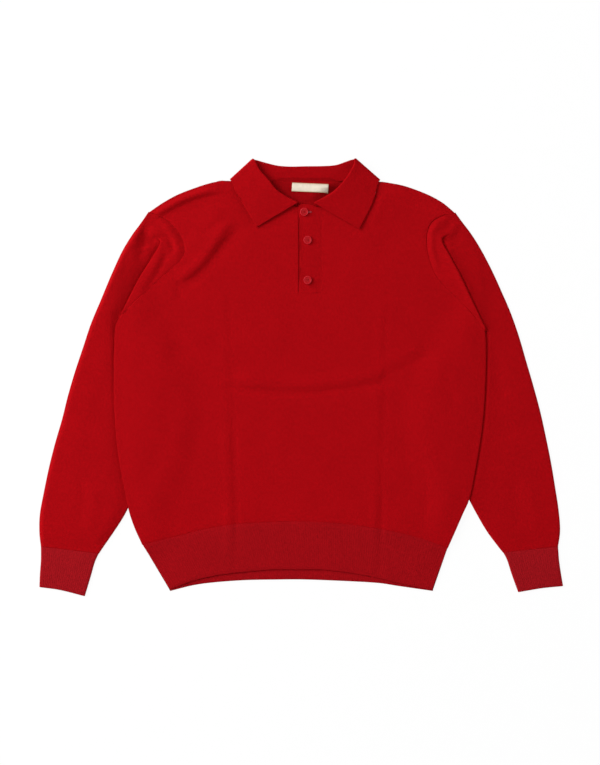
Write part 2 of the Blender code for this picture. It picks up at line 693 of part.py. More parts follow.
def make_cuff(side, parent):
    """A ribbed tube, its ribs raised on top, its underside and inside plain."""
    table = SIDES[side]
    width = np.linalg.norm(np.subtract(table["cuff_outer"][0], table["cuff_inner"][0]))
    ribs = round(width / RIB_PITCH)
    fine = np.linspace(0.0, 1.0, 2 * ribs + 1)
    raised = RIB_HEIGHT * (np.arange(2 * ribs + 1) % 2)
    end = table["cuff_end"]
    top = 2 * RIB_WALL + SEAM
    rings = []
    for down in (0.0, 0.5, 1.0):
        outer = curve(table["cuff_outer"], [down])[0]
        inner = curve(table["cuff_inner"], [down])[0]
        runs = []
        for shares, level in ((fine, top + raised), (PLAIN_SHARES, 0.0),
                              (PLAIN_SHARES, top - RIB_WALL), (PLAIN_SHARES, RIB_WALL)):
            across = (1 - shares)[:, None] * outer + shares[:, None] * inner
            straight = (1 - shares)[:, None] * end[0] + shares[:, None] * end[-1]
            across = across + down * (curve(end, shares) - straight)
            runs.append(raised_to(across, level))
        rings.append(flat_ring(runs[0], runs[1], RIB_WALL, runs[2], runs[3]))
    vertices, faces = tube(rings)
    return add_object(f"cuff_{side}", "rib", vertices, faces, parent, flat=True)


# Collar

def collar_sections():
    """Each section: seam, roll, edge, the way out of the shoulder fold, its angle, its rise."""
    sections = []
    for side in ("left", "right"):
        rows = np.array(COLLAR_FRONT[side])
        rows = evenly(np.column_stack([rows[:, 4:6], rows]), COLLAR_FRONT_CELLS)[:, 2:]
        run = [(row[0:2], row[2:4], row[4:6], np.zeros((3, 2)), 90.0, row[6]) for row in rows]
        seam, roll, edge = np.reshape(COLLAR_SHOULDER[side], (3, 2))
        out = []
        sign = -1.0 if side == "left" else 1.0
        for along in (roll - seam, 0.5 * (roll - seam) + 0.5 * (roll - edge), roll - edge):
            normal = np.array([along[1], -along[0]]) * sign
            out.append(normal / np.linalg.norm(normal))
        out = np.array(out)
        for angle in FOLD_ANGLES:
            reach = COLLAR_WALL / 2 + COLLAR_FOLD * np.array([1.0, 2.0, 3.0])
            middle = np.array([seam, roll, edge]) - out * reach[:, None]
            run.append((*middle, out, float(angle), 0.0))
        sections.append(run)
    rows = np.array(COLLAR_BACK)
    back = [(row[0:2], row[2:4], row[4:6], np.zeros((3, 2)), -90.0, 0.0) for row in rows]
    left, right = sections
    return left + back + right[::-1]


def collar_profile(seam, roll, edge, out, angle, rise):
    """Points across the collar from the seam over the roll to the outer edge."""
    up, sideways = math.sin(math.radians(angle)), math.cos(math.radians(angle))
    stand = (roll - seam) / np.linalg.norm(roll - seam)
    leaf = (roll - edge) / np.linalg.norm(roll - edge)
    inward = 0.5 * (stand + leaf)
    inward /= np.linalg.norm(inward)
    turn = roll - inward * COLLAR_FOLD
    plan = [seam, 0.5 * (seam + turn), turn, roll, turn]
    radius = [1.0, 1.0, 1.0, 2.0, 3.0]
    outward = [out[0], out[0], out[1], out[1], out[1]]
    for share in COLLAR_LEAF_SHARES:
        plan.append(turn + share * (edge - turn))
        radius.append(3.0)
        outward.append(out[2])
    points = []
    for place, ring, away in zip(plan, radius, outward):
        reach = ring * COLLAR_FOLD
        flat = place + away * reach * sideways
        points.append((flat[0], flat[1], COLLAR_MIDDLE + reach * up + rise))
    return np.array(points)


def make_collar(parent):
    middle = np.array([collar_profile(*section) for section in collar_sections()])
    along = np.gradient(middle, axis=0)
    across = np.gradient(middle, axis=1)
    normal = np.cross(along, across)
    normal /= np.linalg.norm(normal, axis=-1, keepdims=True)
    rows, columns = middle.shape[:2]
    count = rows * columns
    vertices = np.vstack([
        (middle - normal * COLLAR_WALL / 2).reshape(-1, 3),
        (middle + normal * COLLAR_WALL / 2).reshape(-1, 3),
    ])
    number = np.arange(count).reshape(rows, columns)
    faces = []
    for i in range(rows - 1):
        for j in range(columns - 1):
            cell = [int(v) for v in
                    (number[i, j], number[i, j + 1], number[i + 1, j + 1], number[i + 1, j])]
            faces.append(cell)
            faces.append([v + count for v in reversed(cell)])
    border = list(number[0]) + list(number[1:, -1]) + list(number[-1, -2::-1])
    border += list(number[-2:0:-1, 0])
    for a, b in zip(border, border[1:] + border[:1]):
        faces.append((int(a), int(b), int(b) + count, int(a) + count))
    return add_object("collar", "knit", vertices, faces, parent)


# Placket, buttons and label

def free_edge(y):
    """How far the top band's free edge wanders from a straight line."""
    table = np.array(FREE_EDGE)
    return np.interp(y, table[:, 0], table[:, 1])


def make_band(name, stops, wander, parent):
    """A placket band, its left edge wandering and its right edge straight."""
    stops = np.array(stops)
    first, last = stops[0, 0], stops[-1, 0]
    down = np.linspace(0.0, 1.0, BAND_ROWS + 1)
    plan = []
    for x, top, _ in stops:
        y = top + (BAND_BOTTOM + SEAM - top) * down
        edge_share = (last - x) / (last - first)
        shift = wander * (free_edge(y) - free_edge(y)[-1]) * edge_share
        plan.append(np.column_stack([x + shift, y]))
    plan = np.array(plan).transpose(1, 0, 2)
    low = front_level(plan) + stops[:, 2]
    vertices, faces = wall(plan, low, low + PANEL)
    return add_object(name, "knit", vertices, faces, parent)


def make_bands(parent):
    make_band("placket_under", UNDER_BAND, 0.0, parent)
    make_band("placket_top", TOP_BAND, 1.0, parent)


def button_mesh():
    """A four-hole button: a turned disc with a raised rim, and holes cut through."""
    work = bmesh.new()
    loops = []
    for radius, height in BUTTON_PROFILE:
        r, z = radius * BUTTON_RADIUS * MM, height * BUTTON_HEIGHT * MM
        if radius == 0.0:
            loops.append([work.verts.new((0.0, 0.0, z))])
            continue
        turn = [2 * math.pi * i / BUTTON_SIDES for i in range(BUTTON_SIDES)]
        loops.append([work.verts.new((r * math.cos(t), r * math.sin(t), z)) for t in turn])
    for low, high in zip(loops, loops[1:]):
        for i in range(BUTTON_SIDES):
            k = (i + 1) % BUTTON_SIDES
            if len(low) == 1:
                work.faces.new((low[0], high[i], high[k]))
            elif len(high) == 1:
                work.faces.new((low[i], low[k], high[0]))
            else:
                work.faces.new((low[i], low[k], high[k], high[i]))
    bmesh.ops.recalc_face_normals(work, faces=work.faces)
    mesh = bpy.data.meshes.new("button")
    work.to_mesh(mesh)
    work.free()
    mesh.shade_smooth()
    mesh.set_sharp_from_angle(angle=math.radians(50))
    mesh.materials.append(material("button", "button"))
    return mesh


def hole_cutter():
    """Four short pins for the thread holes."""
    work = bmesh.new()
    for i in range(4):
        angle = math.radians(45 + 90 * i)
        made = bmesh.ops.create_cone(
            work, cap_ends=True, segments=8, radius1=BUTTON_HOLE_RADIUS * MM,
            radius2=BUTTON_HOLE_RADIUS * MM, depth=4 * BUTTON_HEIGHT * MM,
        )
        reach = BUTTON_HOLE_SPREAD * MM
        offset = (reach * math.cos(angle), reach * math.sin(angle), BUTTON_HEIGHT * MM / 2)
        bmesh.ops.translate(work, verts=made["verts"], vec=offset)
    mesh = bpy.data.meshes.new("button_holes")
    work.to_mesh(mesh)
    work.free()
    return mesh


def make_buttons(parent):
    mesh, holes = button_mesh(), hole_cutter()
    for number, (x, y) in enumerate(BUTTONS, start=1):
        button = bpy.data.objects.new(f"button_{number}", mesh)
        cutter = bpy.data.objects.new(f"button_holes_{number}", holes)
        around = np.array([[x, y + d] for d in (-BUTTON_RADIUS, 0.0, BUTTON_RADIUS)])
        level = front_level(around).max() + BAND_STEP + PANEL + SEAM
        for made in (button, cutter):
            bpy.context.scene.collection.objects.link(made)
            made.location = (x * MM, y * MM, level * MM)
            made.parent = parent
        cutter.hide_render = True
        cutter.display_type = "WIRE"
        cut = button.modifiers.new("thread_holes", "BOOLEAN")
        cut.object = cutter
        cut.operation = "DIFFERENCE"
        cut.solver = "EXACT"


def make_label(parent):
    corners = np.array(LABEL)
    shares = np.linspace(0.0, 1.0, LABEL_CELLS + 1)[:, None]
    upper = (1 - shares) * corners[0] + shares * corners[1]
    lower = (1 - shares) * corners[3] + shares * corners[2]
    plan = np.array([upper, lower])
    low = np.full(plan.shape[:2], COLLAR_LIFT + PANEL + SEAM)
    vertices, faces = wall(plan, low, low + LABEL_WALL)
    return add_object("label", "label", vertices, faces, parent)


def main():
    for old in list(bpy.data.objects):
        bpy.data.objects.remove(old, do_unlink=True)
    sweater = bpy.data.objects.new("sweater", None)
    bpy.context.scene.collection.objects.link(sweater)
    make_back(sweater)
    make_front(sweater)
    make_back_hem(sweater)
    make_front_hem(sweater)
    for side in SIDES:
        make_sleeve(side, sweater)
        make_cuff(side, sweater)
    make_collar(sweater)
    make_bands(sweater)
    make_buttons(sweater)
    make_label(sweater)


main()
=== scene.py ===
"""The looks of a red fine-knit polo sweater that lies flat on its back.

+X is the viewer's right, +Y points from hem to collar and +Z up from the surface it lies on.
Sizes are in millimetres until a mesh is made. Each cloth piece is a thin shell on a grid of points
in the middle of its wall, and its creases are soft troughs and ridges laid along short paths.
"""

import math

import bmesh
import bpy
import numpy as np
from mathutils import Matrix, Vector


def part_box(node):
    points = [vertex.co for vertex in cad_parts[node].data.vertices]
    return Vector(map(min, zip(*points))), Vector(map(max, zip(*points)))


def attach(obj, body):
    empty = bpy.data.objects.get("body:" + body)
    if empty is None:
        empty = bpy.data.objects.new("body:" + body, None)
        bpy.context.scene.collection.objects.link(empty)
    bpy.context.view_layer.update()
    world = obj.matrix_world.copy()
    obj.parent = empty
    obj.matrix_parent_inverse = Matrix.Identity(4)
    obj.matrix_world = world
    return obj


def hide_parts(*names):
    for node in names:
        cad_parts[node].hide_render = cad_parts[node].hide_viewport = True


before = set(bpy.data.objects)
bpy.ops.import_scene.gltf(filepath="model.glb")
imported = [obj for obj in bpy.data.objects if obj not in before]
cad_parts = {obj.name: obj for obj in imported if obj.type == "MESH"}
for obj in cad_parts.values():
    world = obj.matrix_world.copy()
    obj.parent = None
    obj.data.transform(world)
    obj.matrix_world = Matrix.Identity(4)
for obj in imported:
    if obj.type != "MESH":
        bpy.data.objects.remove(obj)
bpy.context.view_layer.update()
MM = 0.001

# Thicknesses and levels, as in the solids
PANEL = 1.6  # wall of the plain knit
SEAM = 0.3  # air between two layers
LAYER = PANEL + SEAM
SLEEVE = 2 * PANEL + SEAM  # both layers of a flattened sleeve
SLEEVE_TOP = SLEEVE - PANEL / 2  # middle of its upper wall
TUCK = SLEEVE + SEAM  # height of the body where a sleeve lies beneath it
TUCK_FLAT = 24.0  # how far beyond the sleeve it stays that high, and how far it takes to come down
TUCK_SLOPE = 50.0
LOFT = 1.3  # air between front and back, away from the seams
LOFT_WIDTH = 22.0  # how far from a seam most of it is there
LEAST_LOFT = 0.3  # the air that a trough leaves, and how softly the trough ends on it
LOFT_SOFT = 0.8
CREASE_EDGE = 5.0  # how far from an edge a crease has most of its height
HEM_EASE = (-235.0, 70.0)  # y where the front starts to flatten to its hem, and over what length
HEM_LOFT_LOSS = 0.7  # shares of the air and of the creases that are gone there
HEM_CREASE_LOSS = 0.35
COLLAR_WALL = 1.6
COLLAR_FOLD = 1.05  # radius of the collar's roll, to the middle of its wall
COLLAR_LIFT = 2.1  # height of the back panel where the collar lies beneath it
COLLAR_MIDDLE = 3.95  # height of the roll's axis
FALL_FLAT = 8.0  # how far beyond the collar the back panel stays high, and its slope's length
FALL_SLOPE = 60.0
NECK_LEVEL = 4.2  # height of the front beneath the collar's leaves
NECK_FLAT = 6.0
NECK_SLOPE = 50.0
NECK_EASE = 1.1  # how far the panels' edges lie below the collar's seam
NECK_BULGE = 9.0  # how far the back of the neck bulges up in the opening
NECK_FALL = 9.5  # length over which it falls away beneath the right roll
NECK_CLIMB = 60.0  # and over which it climbs from the left one
NECK_SEAM = 315.0  # y of the collar's seam at the back, and how far below it the bulge begins
NECK_SEAM_SOFT = 12.0
RIB_PITCH = 3.75
RIB_WALL = 1.5
BAND_STEP = 2.0  # height of the top band over the front
BAND_BOTTOM = 136.0
BAND_CUTS = (-3.2, 31.7)  # x of the front's two cut edges at the placket
BUTTON_RADIUS = 6.3
BUTTON_HEIGHT = 2.6
BUTTONS = ((5.1, 265.0), (10.6, 220.2), (10.6, 156.2))  # x, y
LABEL_WALL = 0.8
LABEL = ((-13.9, 312.2), (44.0, 309.2), (43.2, 295.2), (-15.0, 298.2))  # from the top left, clockwise

# How finely the grids are cut
ARMHOLE_CELLS = 88
SIDE_CELLS = 104
NECK_CELLS = 40
BAND_CELLS = 40
BACK_SHARE = 2  # the back's grid is this much coarser
PLAIN_COLUMNS = 76
EDGE_COLUMNS = (0.955, 0.968, 0.979, 0.988, 0.995, 1.0)
MIDDLE_COLUMNS = 10
BACK_MIDDLE_COLUMNS = 44
CURVE_STEPS = 12  # between two points of an outline
SEAM_PATH = 40  # cells along a seam, or along a sleeve's edge, that distances are taken to
EDGE_PATH = 60

# Outlines, each row x, y. The wearer's right is on the viewer's left, here called left.
SIDES = {
    "left": {
        "shoulder": (
            (-80.8, 315.2), (-100.0, 313.6), (-113.0, 313.6), (-126.0, 314.2), (-140.0, 312.6),
            (-161.0, 306.8), (-194.4, 294.4), (-218.4, 281.6), (-237.6, 268.8), (-244.0, 264.0),
        ),
        "front_armhole": (
            (-244.0, 264.0), (-228.0, 259.2), (-208.8, 246.4), (-192.8, 227.2), (-186.4, 206.4),
            (-192.8, 188.8), (-210.4, 172.8), (-229.6, 155.2), (-248.8, 137.6), (-269.6, 118.4),
            (-288.8, 99.2),
        ),
        "back_armhole": (
            (-244.0, 264.0), (-245.0, 235.0), (-250.0, 200.0), (-259.0, 165.0), (-271.0, 130.0),
            (-288.8, 99.2),
        ),
        "side": (
            (-288.8, 99.2), (-296.8, 80.0), (-298.4, 44.8), (-299.2, -3.2), (-297.6, -59.2),
            (-292.0, -121.6), (-278.0, -198.4), (-268.0, -233.6), (-253.6, -266.4),
        ),
        "sleeve_outer": (
            (-244.0, 264.0), (-250.4, 254.4), (-258.4, 243.2), (-269.6, 228.0), (-285.6, 201.6),
            (-303.2, 163.2), (-319.2, 124.8), (-335.2, 86.4), (-348.0, 48.0), (-360.8, 9.6),
            (-372.0, -28.8), (-381.6, -67.2), (-392.8, -105.6), (-402.4, -144.0),
            (-410.4, -182.4), (-416.8, -217.6), (-417.6, -246.4), (-415.2, -268.8),
        ),
        "sleeve_inner": (
            (-289.0, 98.6), (-288.8, 97.8), (-288.4, 94.4), (-288.8, 89.2), (-289.4, 81.6),
            (-287.2, 70.4), (-271.2, 54.4), (-250.4, 32.0), (-234.4, 0.0), (-228.0, -38.4),
            (-229.6, -76.8), (-239.2, -118.4), (-253.6, -160.0), (-271.2, -195.2),
            (-284.0, -220.8), (-301.6, -248.0), (-316.0, -268.8), (-324.0, -280.0),
        ),
        "fold_top": (
            (-250.4, 254.4), (-239.0, 230.0), (-224.0, 217.0), (-240.0, 188.0),
            (-257.5, 160.0), (-273.5, 129.0), (-288.8, 97.8),
        ),
        "fold_foot": (
            (-258.4, 243.2), (-247.0, 226.0), (-236.0, 211.0), (-246.0, 188.0),
            (-263.5, 160.0), (-279.0, 130.0), (-288.4, 94.4),
        ),
        "under_fold_top": (
            (-250.4, 254.4), (-256.0, 228.0), (-263.0, 195.0), (-272.0, 160.0), (-281.0, 130.0),
            (-288.8, 97.8),
        ),
        "under_fold_foot": (
            (-258.4, 243.2), (-266.0, 215.0), (-274.0, 185.0), (-281.0, 155.0), (-287.0, 125.0),
            (-288.4, 94.4),
        ),
        "cuff_end": ((-417.6, -335.4), (-384.8, -340.0), (-346.4, -349.6)),
        "cuff_outer": ((-415.2, -268.8), (-415.2, -291.2), (-416.8, -313.6), (-417.6, -334.4)),
        "cuff_inner": ((-324.0, -280.0), (-330.4, -294.4), (-336.8, -316.8), (-346.4, -348.8)),
        "fold_start": 0.25,
    },
    "right": {
        "shoulder": (
            (92.8, 315.2), (111.2, 313.6), (124.0, 313.6), (137.0, 312.4), (167.2, 306.4),
            (200.8, 294.1), (224.8, 281.3), (240.8, 268.5), (247.2, 262.4),
        ),
        "front_armhole": (
            (247.2, 262.4), (228.0, 259.2), (210.4, 249.6), (202.4, 232.0), (201.6, 211.2),
            (205.6, 188.8), (213.6, 168.0), (226.4, 150.4), (247.2, 131.2), (271.2, 105.6),
            (294.4, 75.2),
        ),
        "back_armhole": (
            (247.2, 262.4), (248.0, 235.0), (253.0, 200.0), (261.0, 160.0), (273.0, 115.0),
            (294.4, 75.2),
        ),
        "side": (
            (294.4, 75.2), (295.6, 44.8), (294.4, -11.2), (290.4, -70.4), (280.8, -134.4),
            (269.6, -190.4), (257.6, -219.2), (234.6, -272.0),
        ),
        "sleeve_outer": (
            (247.2, 262.4), (253.6, 253.6), (261.6, 243.2), (272.8, 228.0), (287.2, 204.8),
            (304.8, 171.2), (320.8, 136.0), (335.2, 102.4), (348.0, 65.6), (359.2, 27.2),
            (370.4, -11.2), (381.6, -52.8), (391.2, -96.0), (399.2, -136.0), (405.6, -174.4),
            (411.2, -211.2), (413.6, -243.2), (410.4, -268.8),
        ),
        "sleeve_inner": (
            (295.2, 75.0), (296.4, 74.4), (298.2, 70.4), (298.4, 65.6), (297.6, 57.6),
            (290.4, 44.8), (274.4, 28.8), (253.6, 6.4), (237.6, -22.4), (229.6, -56.0),
            (229.6, -89.6), (237.6, -124.8), (250.4, -160.0), (264.8, -185.6), (279.2, -212.8),
            (296.8, -243.2), (314.4, -267.2), (324.0, -278.4),
        ),
        "fold_top": (
            (253.6, 253.6), (241.0, 234.0), (225.0, 221.0), (238.5, 193.0), (253.7, 165.0),
            (270.5, 129.6), (285.0, 99.5), (296.4, 74.4),
        ),
        "fold_foot": (
            (261.6, 243.2), (250.0, 226.0), (238.0, 210.0), (246.0, 188.0), (261.0, 160.0),
            (277.0, 127.0), (290.0, 98.0), (298.2, 70.4),
        ),
        "under_fold_top": (
            (253.6, 253.6), (259.0, 228.0), (266.0, 195.0), (275.0, 155.0), (285.0, 112.0),
            (296.4, 74.4),
        ),
        "under_fold_foot": (
            (261.6, 243.2), (269.0, 215.0), (276.0, 185.0), (283.0, 150.0), (291.0, 110.0),
            (298.2, 70.4),
        ),
        "cuff_end": ((418.4, -333.6), (385.0, -337.0), (348.0, -343.4)),
        "cuff_outer": ((410.4, -268.8), (412.0, -291.2), (415.2, -313.6), (418.4, -332.8)),
        "cuff_inner": ((324.0, -278.4), (330.4, -291.2), (337.6, -313.6), (348.0, -342.4)),
        "fold_start": 0.2,
    },
}
RIB_TOP = (
    (-253.6, -266.4), (-191.2, -251.2), (-157.6, -242.6), (-108.0, -234.2), (-58.4, -231.0),
    (-8.8, -229.3), (40.8, -231.0), (90.4, -236.0), (140.0, -244.2), (189.6, -256.0),
    (234.6, -272.0),
)
FRONT_HEM = (
    (-209.0, -338.0), (-173.6, -324.8), (-141.6, -316.8), (-108.0, -312.0), (-74.4, -308.8),
    (-42.4, -306.4), (24.8, -306.4), (56.8, -308.8), (90.4, -313.6), (124.0, -320.0),
    (156.0, -328.0), (209.6, -339.0),
)
BACK_HEM = (
    (-209.0, -340.6), (-173.6, -331.8), (-141.6, -327.2), (-92.0, -323.5), (-42.4, -322.5),
    (7.2, -322.4), (74.4, -325.0), (124.0, -328.0), (156.0, -332.8), (210.4, -340.6),
)
COLLAR_FRONT = {
    "left": (  # seam x, y, roll x, y, edge x, y, raised
        (-5.6, 274.4, -5.0, 279.8, -71.2, 240.0, 0.0),
        (-23.2, 278.4, -21.4, 287.9, -76.0, 249.6, 0.0),
        (-44.0, 287.2, -39.6, 300.0, -84.0, 264.0, 0.0),
        (-60.8, 301.6, -50.7, 314.1, -93.6, 279.2, 0.0),
        (-72.0, 312.8, -65.3, 330.4, -103.2, 294.4, 0.0),
        (-77.4, 316.8, -72.0, 342.8, -108.6, 308.4, 0.0),
    ),
    "right": (
        (22.4, 275.2, 20.8, 279.2, 92.8, 237.6, 2.1),
        (39.2, 276.4, 34.4, 286.4, 97.6, 246.4, 1.0),
        (60.8, 287.2, 52.6, 297.6, 104.8, 260.0, 0.2),
        (75.2, 301.6, 67.0, 312.0, 112.0, 274.4, 0.0),
        (84.8, 312.0, 79.8, 330.4, 118.4, 289.6, 0.0),
        (90.0, 316.0, 85.6, 342.8, 121.8, 305.6, 0.0),
    ),
}
COLLAR_SHOULDER = {
    "left": (-80.8, 317.9, -77.6, 349.6, -113.9, 317.6),
    "right": (92.8, 317.9, 87.4, 350.2, 126.9, 316.8),
}
COLLAR_BACK = (
    (-74.0, 318.2, -69.0, 346.6, -101.0, 305.0),
    (-63.2, 316.6, -56.8, 343.0, -77.6, 294.4),
    (-44.0, 315.6, -37.6, 338.4, -47.2, 289.6),
    (-20.0, 315.4, -16.8, 336.8, -20.0, 288.0),
    (7.2, 315.4, 7.2, 337.3, 7.2, 288.0),
    (34.4, 315.4, 34.4, 337.6, 36.0, 288.0),
    (55.2, 315.6, 55.2, 339.2, 61.6, 289.6),
    (74.4, 316.6, 71.2, 344.4, 92.0, 294.4),
    (86.0, 318.2, 79.5, 347.4, 113.0, 305.0),
)
UNDER_BAND = (  # x, y of the top end, height above the front's level
    (-5.0, 276.6, -1.1), (-0.5, 276.8, -0.6), (6.4, 277.2, -0.3), (15.7, 276.8, 0.0), (25.0, 275.0, 0.0),
)
TOP_BAND = (
    (-2.6, 277.0, BAND_STEP + 0.5), (-0.6, 277.2, BAND_STEP + 0.3), (3.0, 277.6, BAND_STEP),
    (10.0, 277.4, 1.8), (19.0, 276.6, 1.2), (26.2, 273.4, 0.6), (31.4, 272.7, 0.15),
    (32.4, 272.5, 0.0), (33.4, 272.4, -0.9),
)
FREE_EDGE = (  # y, and how far the top band's free edge wanders sideways there
    (136.0, -1.2), (150.0, -0.6), (168.0, 0.7), (185.0, 1.4), (200.0, 1.4), (214.0, 0.9),
    (228.0, 0.4), (245.0, -0.2), (260.0, -1.0), (268.0, -1.8), (278.0, -0.6),
)

# Creases: height (below zero for a trough), half a width, and a path
FRONT_CREASES = (
    (-2.6, 4.6, ((-146, -11), (-71, -22), (18, -24), (95, -14), (180, -1))),
    (2.2, 11, ((-135, 1), (-60, -7), (20, -8), (90, 1), (150, 11))),
    (-1.8, 6, ((120, -10), (159, 13), (215, 40))),
    (1.2, 8, ((120, 12), (150, 30), (200, 54))),
    (-0.3, 6, ((-119, 190), (-112, 45), (-108, -45), (-105, -134), (-103, -230), (-106, -330))),
    (0.35, 8, ((-129, 190), (-124, 45), (-120, -45), (-117, -134), (-114, -230), (-117, -330))),
    (-0.8, 4, ((-108, -60), (-105, -160), (-103, -230), (-106, -330))),
    (0.6, 7, ((-124, -60), (-119, -160), (-116, -230), (-120, -330))),
    (-0.4, 5, ((141, 180), (138, 96), (132, -100), (129, -198), (126, -330))),
    (0.4, 8, ((128, 180), (126, 96), (120, -100), (117, -198), (112, -330))),
    (-0.7, 4, ((131, -170), (129, -230), (125, -330))),
    (0.5, 7, ((119, -170), (117, -230), (112, -330))),
    (-2.6, 8, ((-62, 258), (-84, 243), (-122, 211), (-161, 166), (-206, 134))),
    (2.8, 10, ((-84, 262), (-116, 245), (-142, 208), (-166, 179), (-204, 152))),
    (2.2, 22, ((-110, 272), (-130, 256), (-156, 219), (-180, 190), (-212, 166))),
    (-0.8, 6, ((-112, 258), (-138, 243), (-165, 226))),
    (-0.6, 7, ((-190, 160), (-195, 147), (-193, 118))),
    (-0.8, 16, ((-199, 110), (-197, 50), (-201, -10), (-212, -83), (-238, -141), (-268, -190))),
    (0.5, 20, ((-232, 90), (-232, 20), (-240, -60), (-262, -120))),
    (-0.6, 8, ((224, 20), (232, -4), (248, -50))),
    (-0.5, 7, ((194, -120), (200, -160), (201, -192), (197, -250))),
    (0.3, 9, ((182, -120), (187, -192), (184, -250))),
    (-0.5, 5, ((-120, 32), (-112, 19), (-100, 2))),
    (4.8, 6.5, ((-72, 300), (-112, 300), (-150, 297.5), (-190, 284.5), (-222, 267), (-252, 246))),
    (-3.0, 8, ((-72, 285), (-125, 287), (-155, 284), (-191, 271), (-222, 254), (-240, 243), (-262, 226))),
    (1.2, 8, ((100, 303), (150, 299), (190, 286), (222, 268), (244, 250))),
    (-0.6, 8, ((130, 284), (160, 280), (200, 268))),
    (0.8, 24, ((60, 200), (110, 160), (150, 90))),
    (0.7, 28, ((-60, 120), (-40, 60), (-20, 40))),
    (0.6, 26, ((-60, -90), (0, -120), (60, -150))),
)
SLEEVE_CREASES = {
    "left": (
        (1.9, 7, ((-232, 262), (-220, 249), (-208, 234), (-197, 216), (-196, 198), (-206, 182))),
        (-2.2, 4, ((-245, 219), (-236, 223), (-224, 225), (-212, 222), (-205, 212), (-203, 196))),
        (1.2, 6, ((-220, 214), (-231, 186), (-248, 157), (-266, 124))),
        (-1.0, 5, ((-212, 204), (-219, 186), (-233, 160), (-249, 134))),
        (0.8, 8, ((-244, 258), (-258, 240), (-268, 220), (-277, 196))),
        (-2.2, 6.5, ((-200, 272), (-226, 260), (-241, 250), (-249, 230), (-253, 208), (-262, 178))),
        (-0.6, 12, ((-300, 30), (-312, -20), (-322, -80))),
        (0.6, 22, ((-330, 20), (-350, -60), (-366, -140))),
        (-0.6, 9, ((-352, -150), (-348, -190), (-352, -240))),
        (0.5, 10, ((-330, -170), (-330, -215), (-336, -255))),
    ),
    "right": (
        (1.5, 5.5, ((238, 262), (222, 252), (210, 236), (208.5, 211), (212, 190), (222, 168))),
        (0.8, 4, ((232, 259), (228, 248), (222, 240))),
        (-1.0, 5, ((244, 250), (232, 240), (226, 230))),
        (0.8, 6, ((228, 216), (240, 190), (256, 160), (273, 126))),
        (-0.6, 10, ((300, 60), (314, 10), (322, -40))),
        (-0.6, 7, ((304, 2), (316, -16), (332, -30))),
        (0.6, 22, ((334, 30), (352, -50), (366, -130))),
        (-0.6, 9, ((340, -150), (344, -200), (352, -250))),
        (0.5, 10, ((366, -160), (370, -210), (376, -255))),
    ),
}
COLLAR_CREASES = (  # beside the leaves' outer edges
    (-1.6, 8, ((-109, 312), (-99, 294), (-88, 272), (-78, 254), (-65, 238))),
    (0.8, 9, ((136, 300), (124, 268), (110, 240))),
)
CREASE_CELLS = 16
CREASE_TAPER = 0.22  # share of its length over which each end of a crease fades
CREASE_UNEVEN = 0.3
CREASE_PATCH = 38.0
CREASE_SEED = 3

WANDER_CELLS = 64
# Unevenness of each kind of cloth: height, size of its patches, and seed
UNEVEN = {
    "front": ((0.12, 30.0, 5), (0.3, 75.0, 6)),
    "sleeve": ((0.4, 60.0, 8), (0.25, 26.0, 9)),
    "cuff": ((0.25, 22.0, 11), (0.4, 50.0, 12)),
    "collar": ((0.3, 22.0, 14), (0.35, 48.0, 15)),
    "band": ((0.2, 16.0, 17),),
    "label": ((0.15, 12.0, 21),),
}


# Curves and distances in plan

def smooth(share):
    """Eases from 0 to 1."""
    share = np.clip(share, 0.0, 1.0)
    return share * share * (3.0 - 2.0 * share)


def bell(gap, width):
    """1 on a line, and fading to 0 on both sides of it."""
    return np.exp(-((gap / width) ** 2))


def blend(low, high, share):
    return (1 - share) * low + share * high


def spline(a, b, c, d, t):
    """The smooth curve from b to c that comes from a and goes on to d."""
    return 0.5 * (2 * b + (c - a) * t + (2 * a - 5 * b + 4 * c - d) * t**2
                  + (3 * b - a - 3 * c + d) * t**3)


def with_ends(points):
    """Points with one more at each end, straight on from the last two."""
    return np.concatenate([2 * points[:1] - points[1:2], points, 2 * points[-1:] - points[-2:-1]])


def lengths_along(path):
    """The distance along a path to each of its points."""
    return np.concatenate([[0.0], np.cumsum(np.linalg.norm(np.diff(path, axis=0), axis=1))])


def curve(points, shares):
    """Points on the smooth curve through the given ones, at shares of its length."""
    points = np.asarray(points, float)
    ends = with_ends(points)
    steps = np.linspace(0.0, 1.0, CURVE_STEPS, endpoint=False)[:, None]
    dense = [spline(*four, steps) for four in zip(ends, ends[1:], ends[2:], ends[3:])]
    dense = np.vstack(dense + [points[-1:]])
    length = lengths_along(dense[:, :2])
    wanted = np.asarray(shares, float) * length[-1]
    return np.stack([np.interp(wanted, length, column) for column in dense.T], axis=-1)


def evenly(points, cells):
    return curve(points, np.linspace(0.0, 1.0, cells + 1))


def through(stations, places):
    """Points between stations (the first axis), on smooth curves, at fractional station numbers."""
    stations = with_ends(stations)
    places = np.clip(np.asarray(places, float), 0.0, len(stations) - 3.0)
    first = np.minimum(places.astype(int), len(stations) - 4)
    t = (places - first).reshape((-1,) + (1,) * (stations.ndim - 1))
    return spline(*(stations[first + k] for k in range(4)), t)


def joined(*runs):
    """Runs of points end to end, each one's first point dropped where it repeats the last."""
    return np.vstack([runs[0]] + [run[1:] for run in runs[1:]])


def moved_sideways(path, distance):
    """An open path moved to its left by a distance."""
    along = np.gradient(path, axis=0)
    along /= np.linalg.norm(along, axis=1, keepdims=True)
    return path + np.stack([-along[:, 1], along[:, 0]], axis=1) * distance


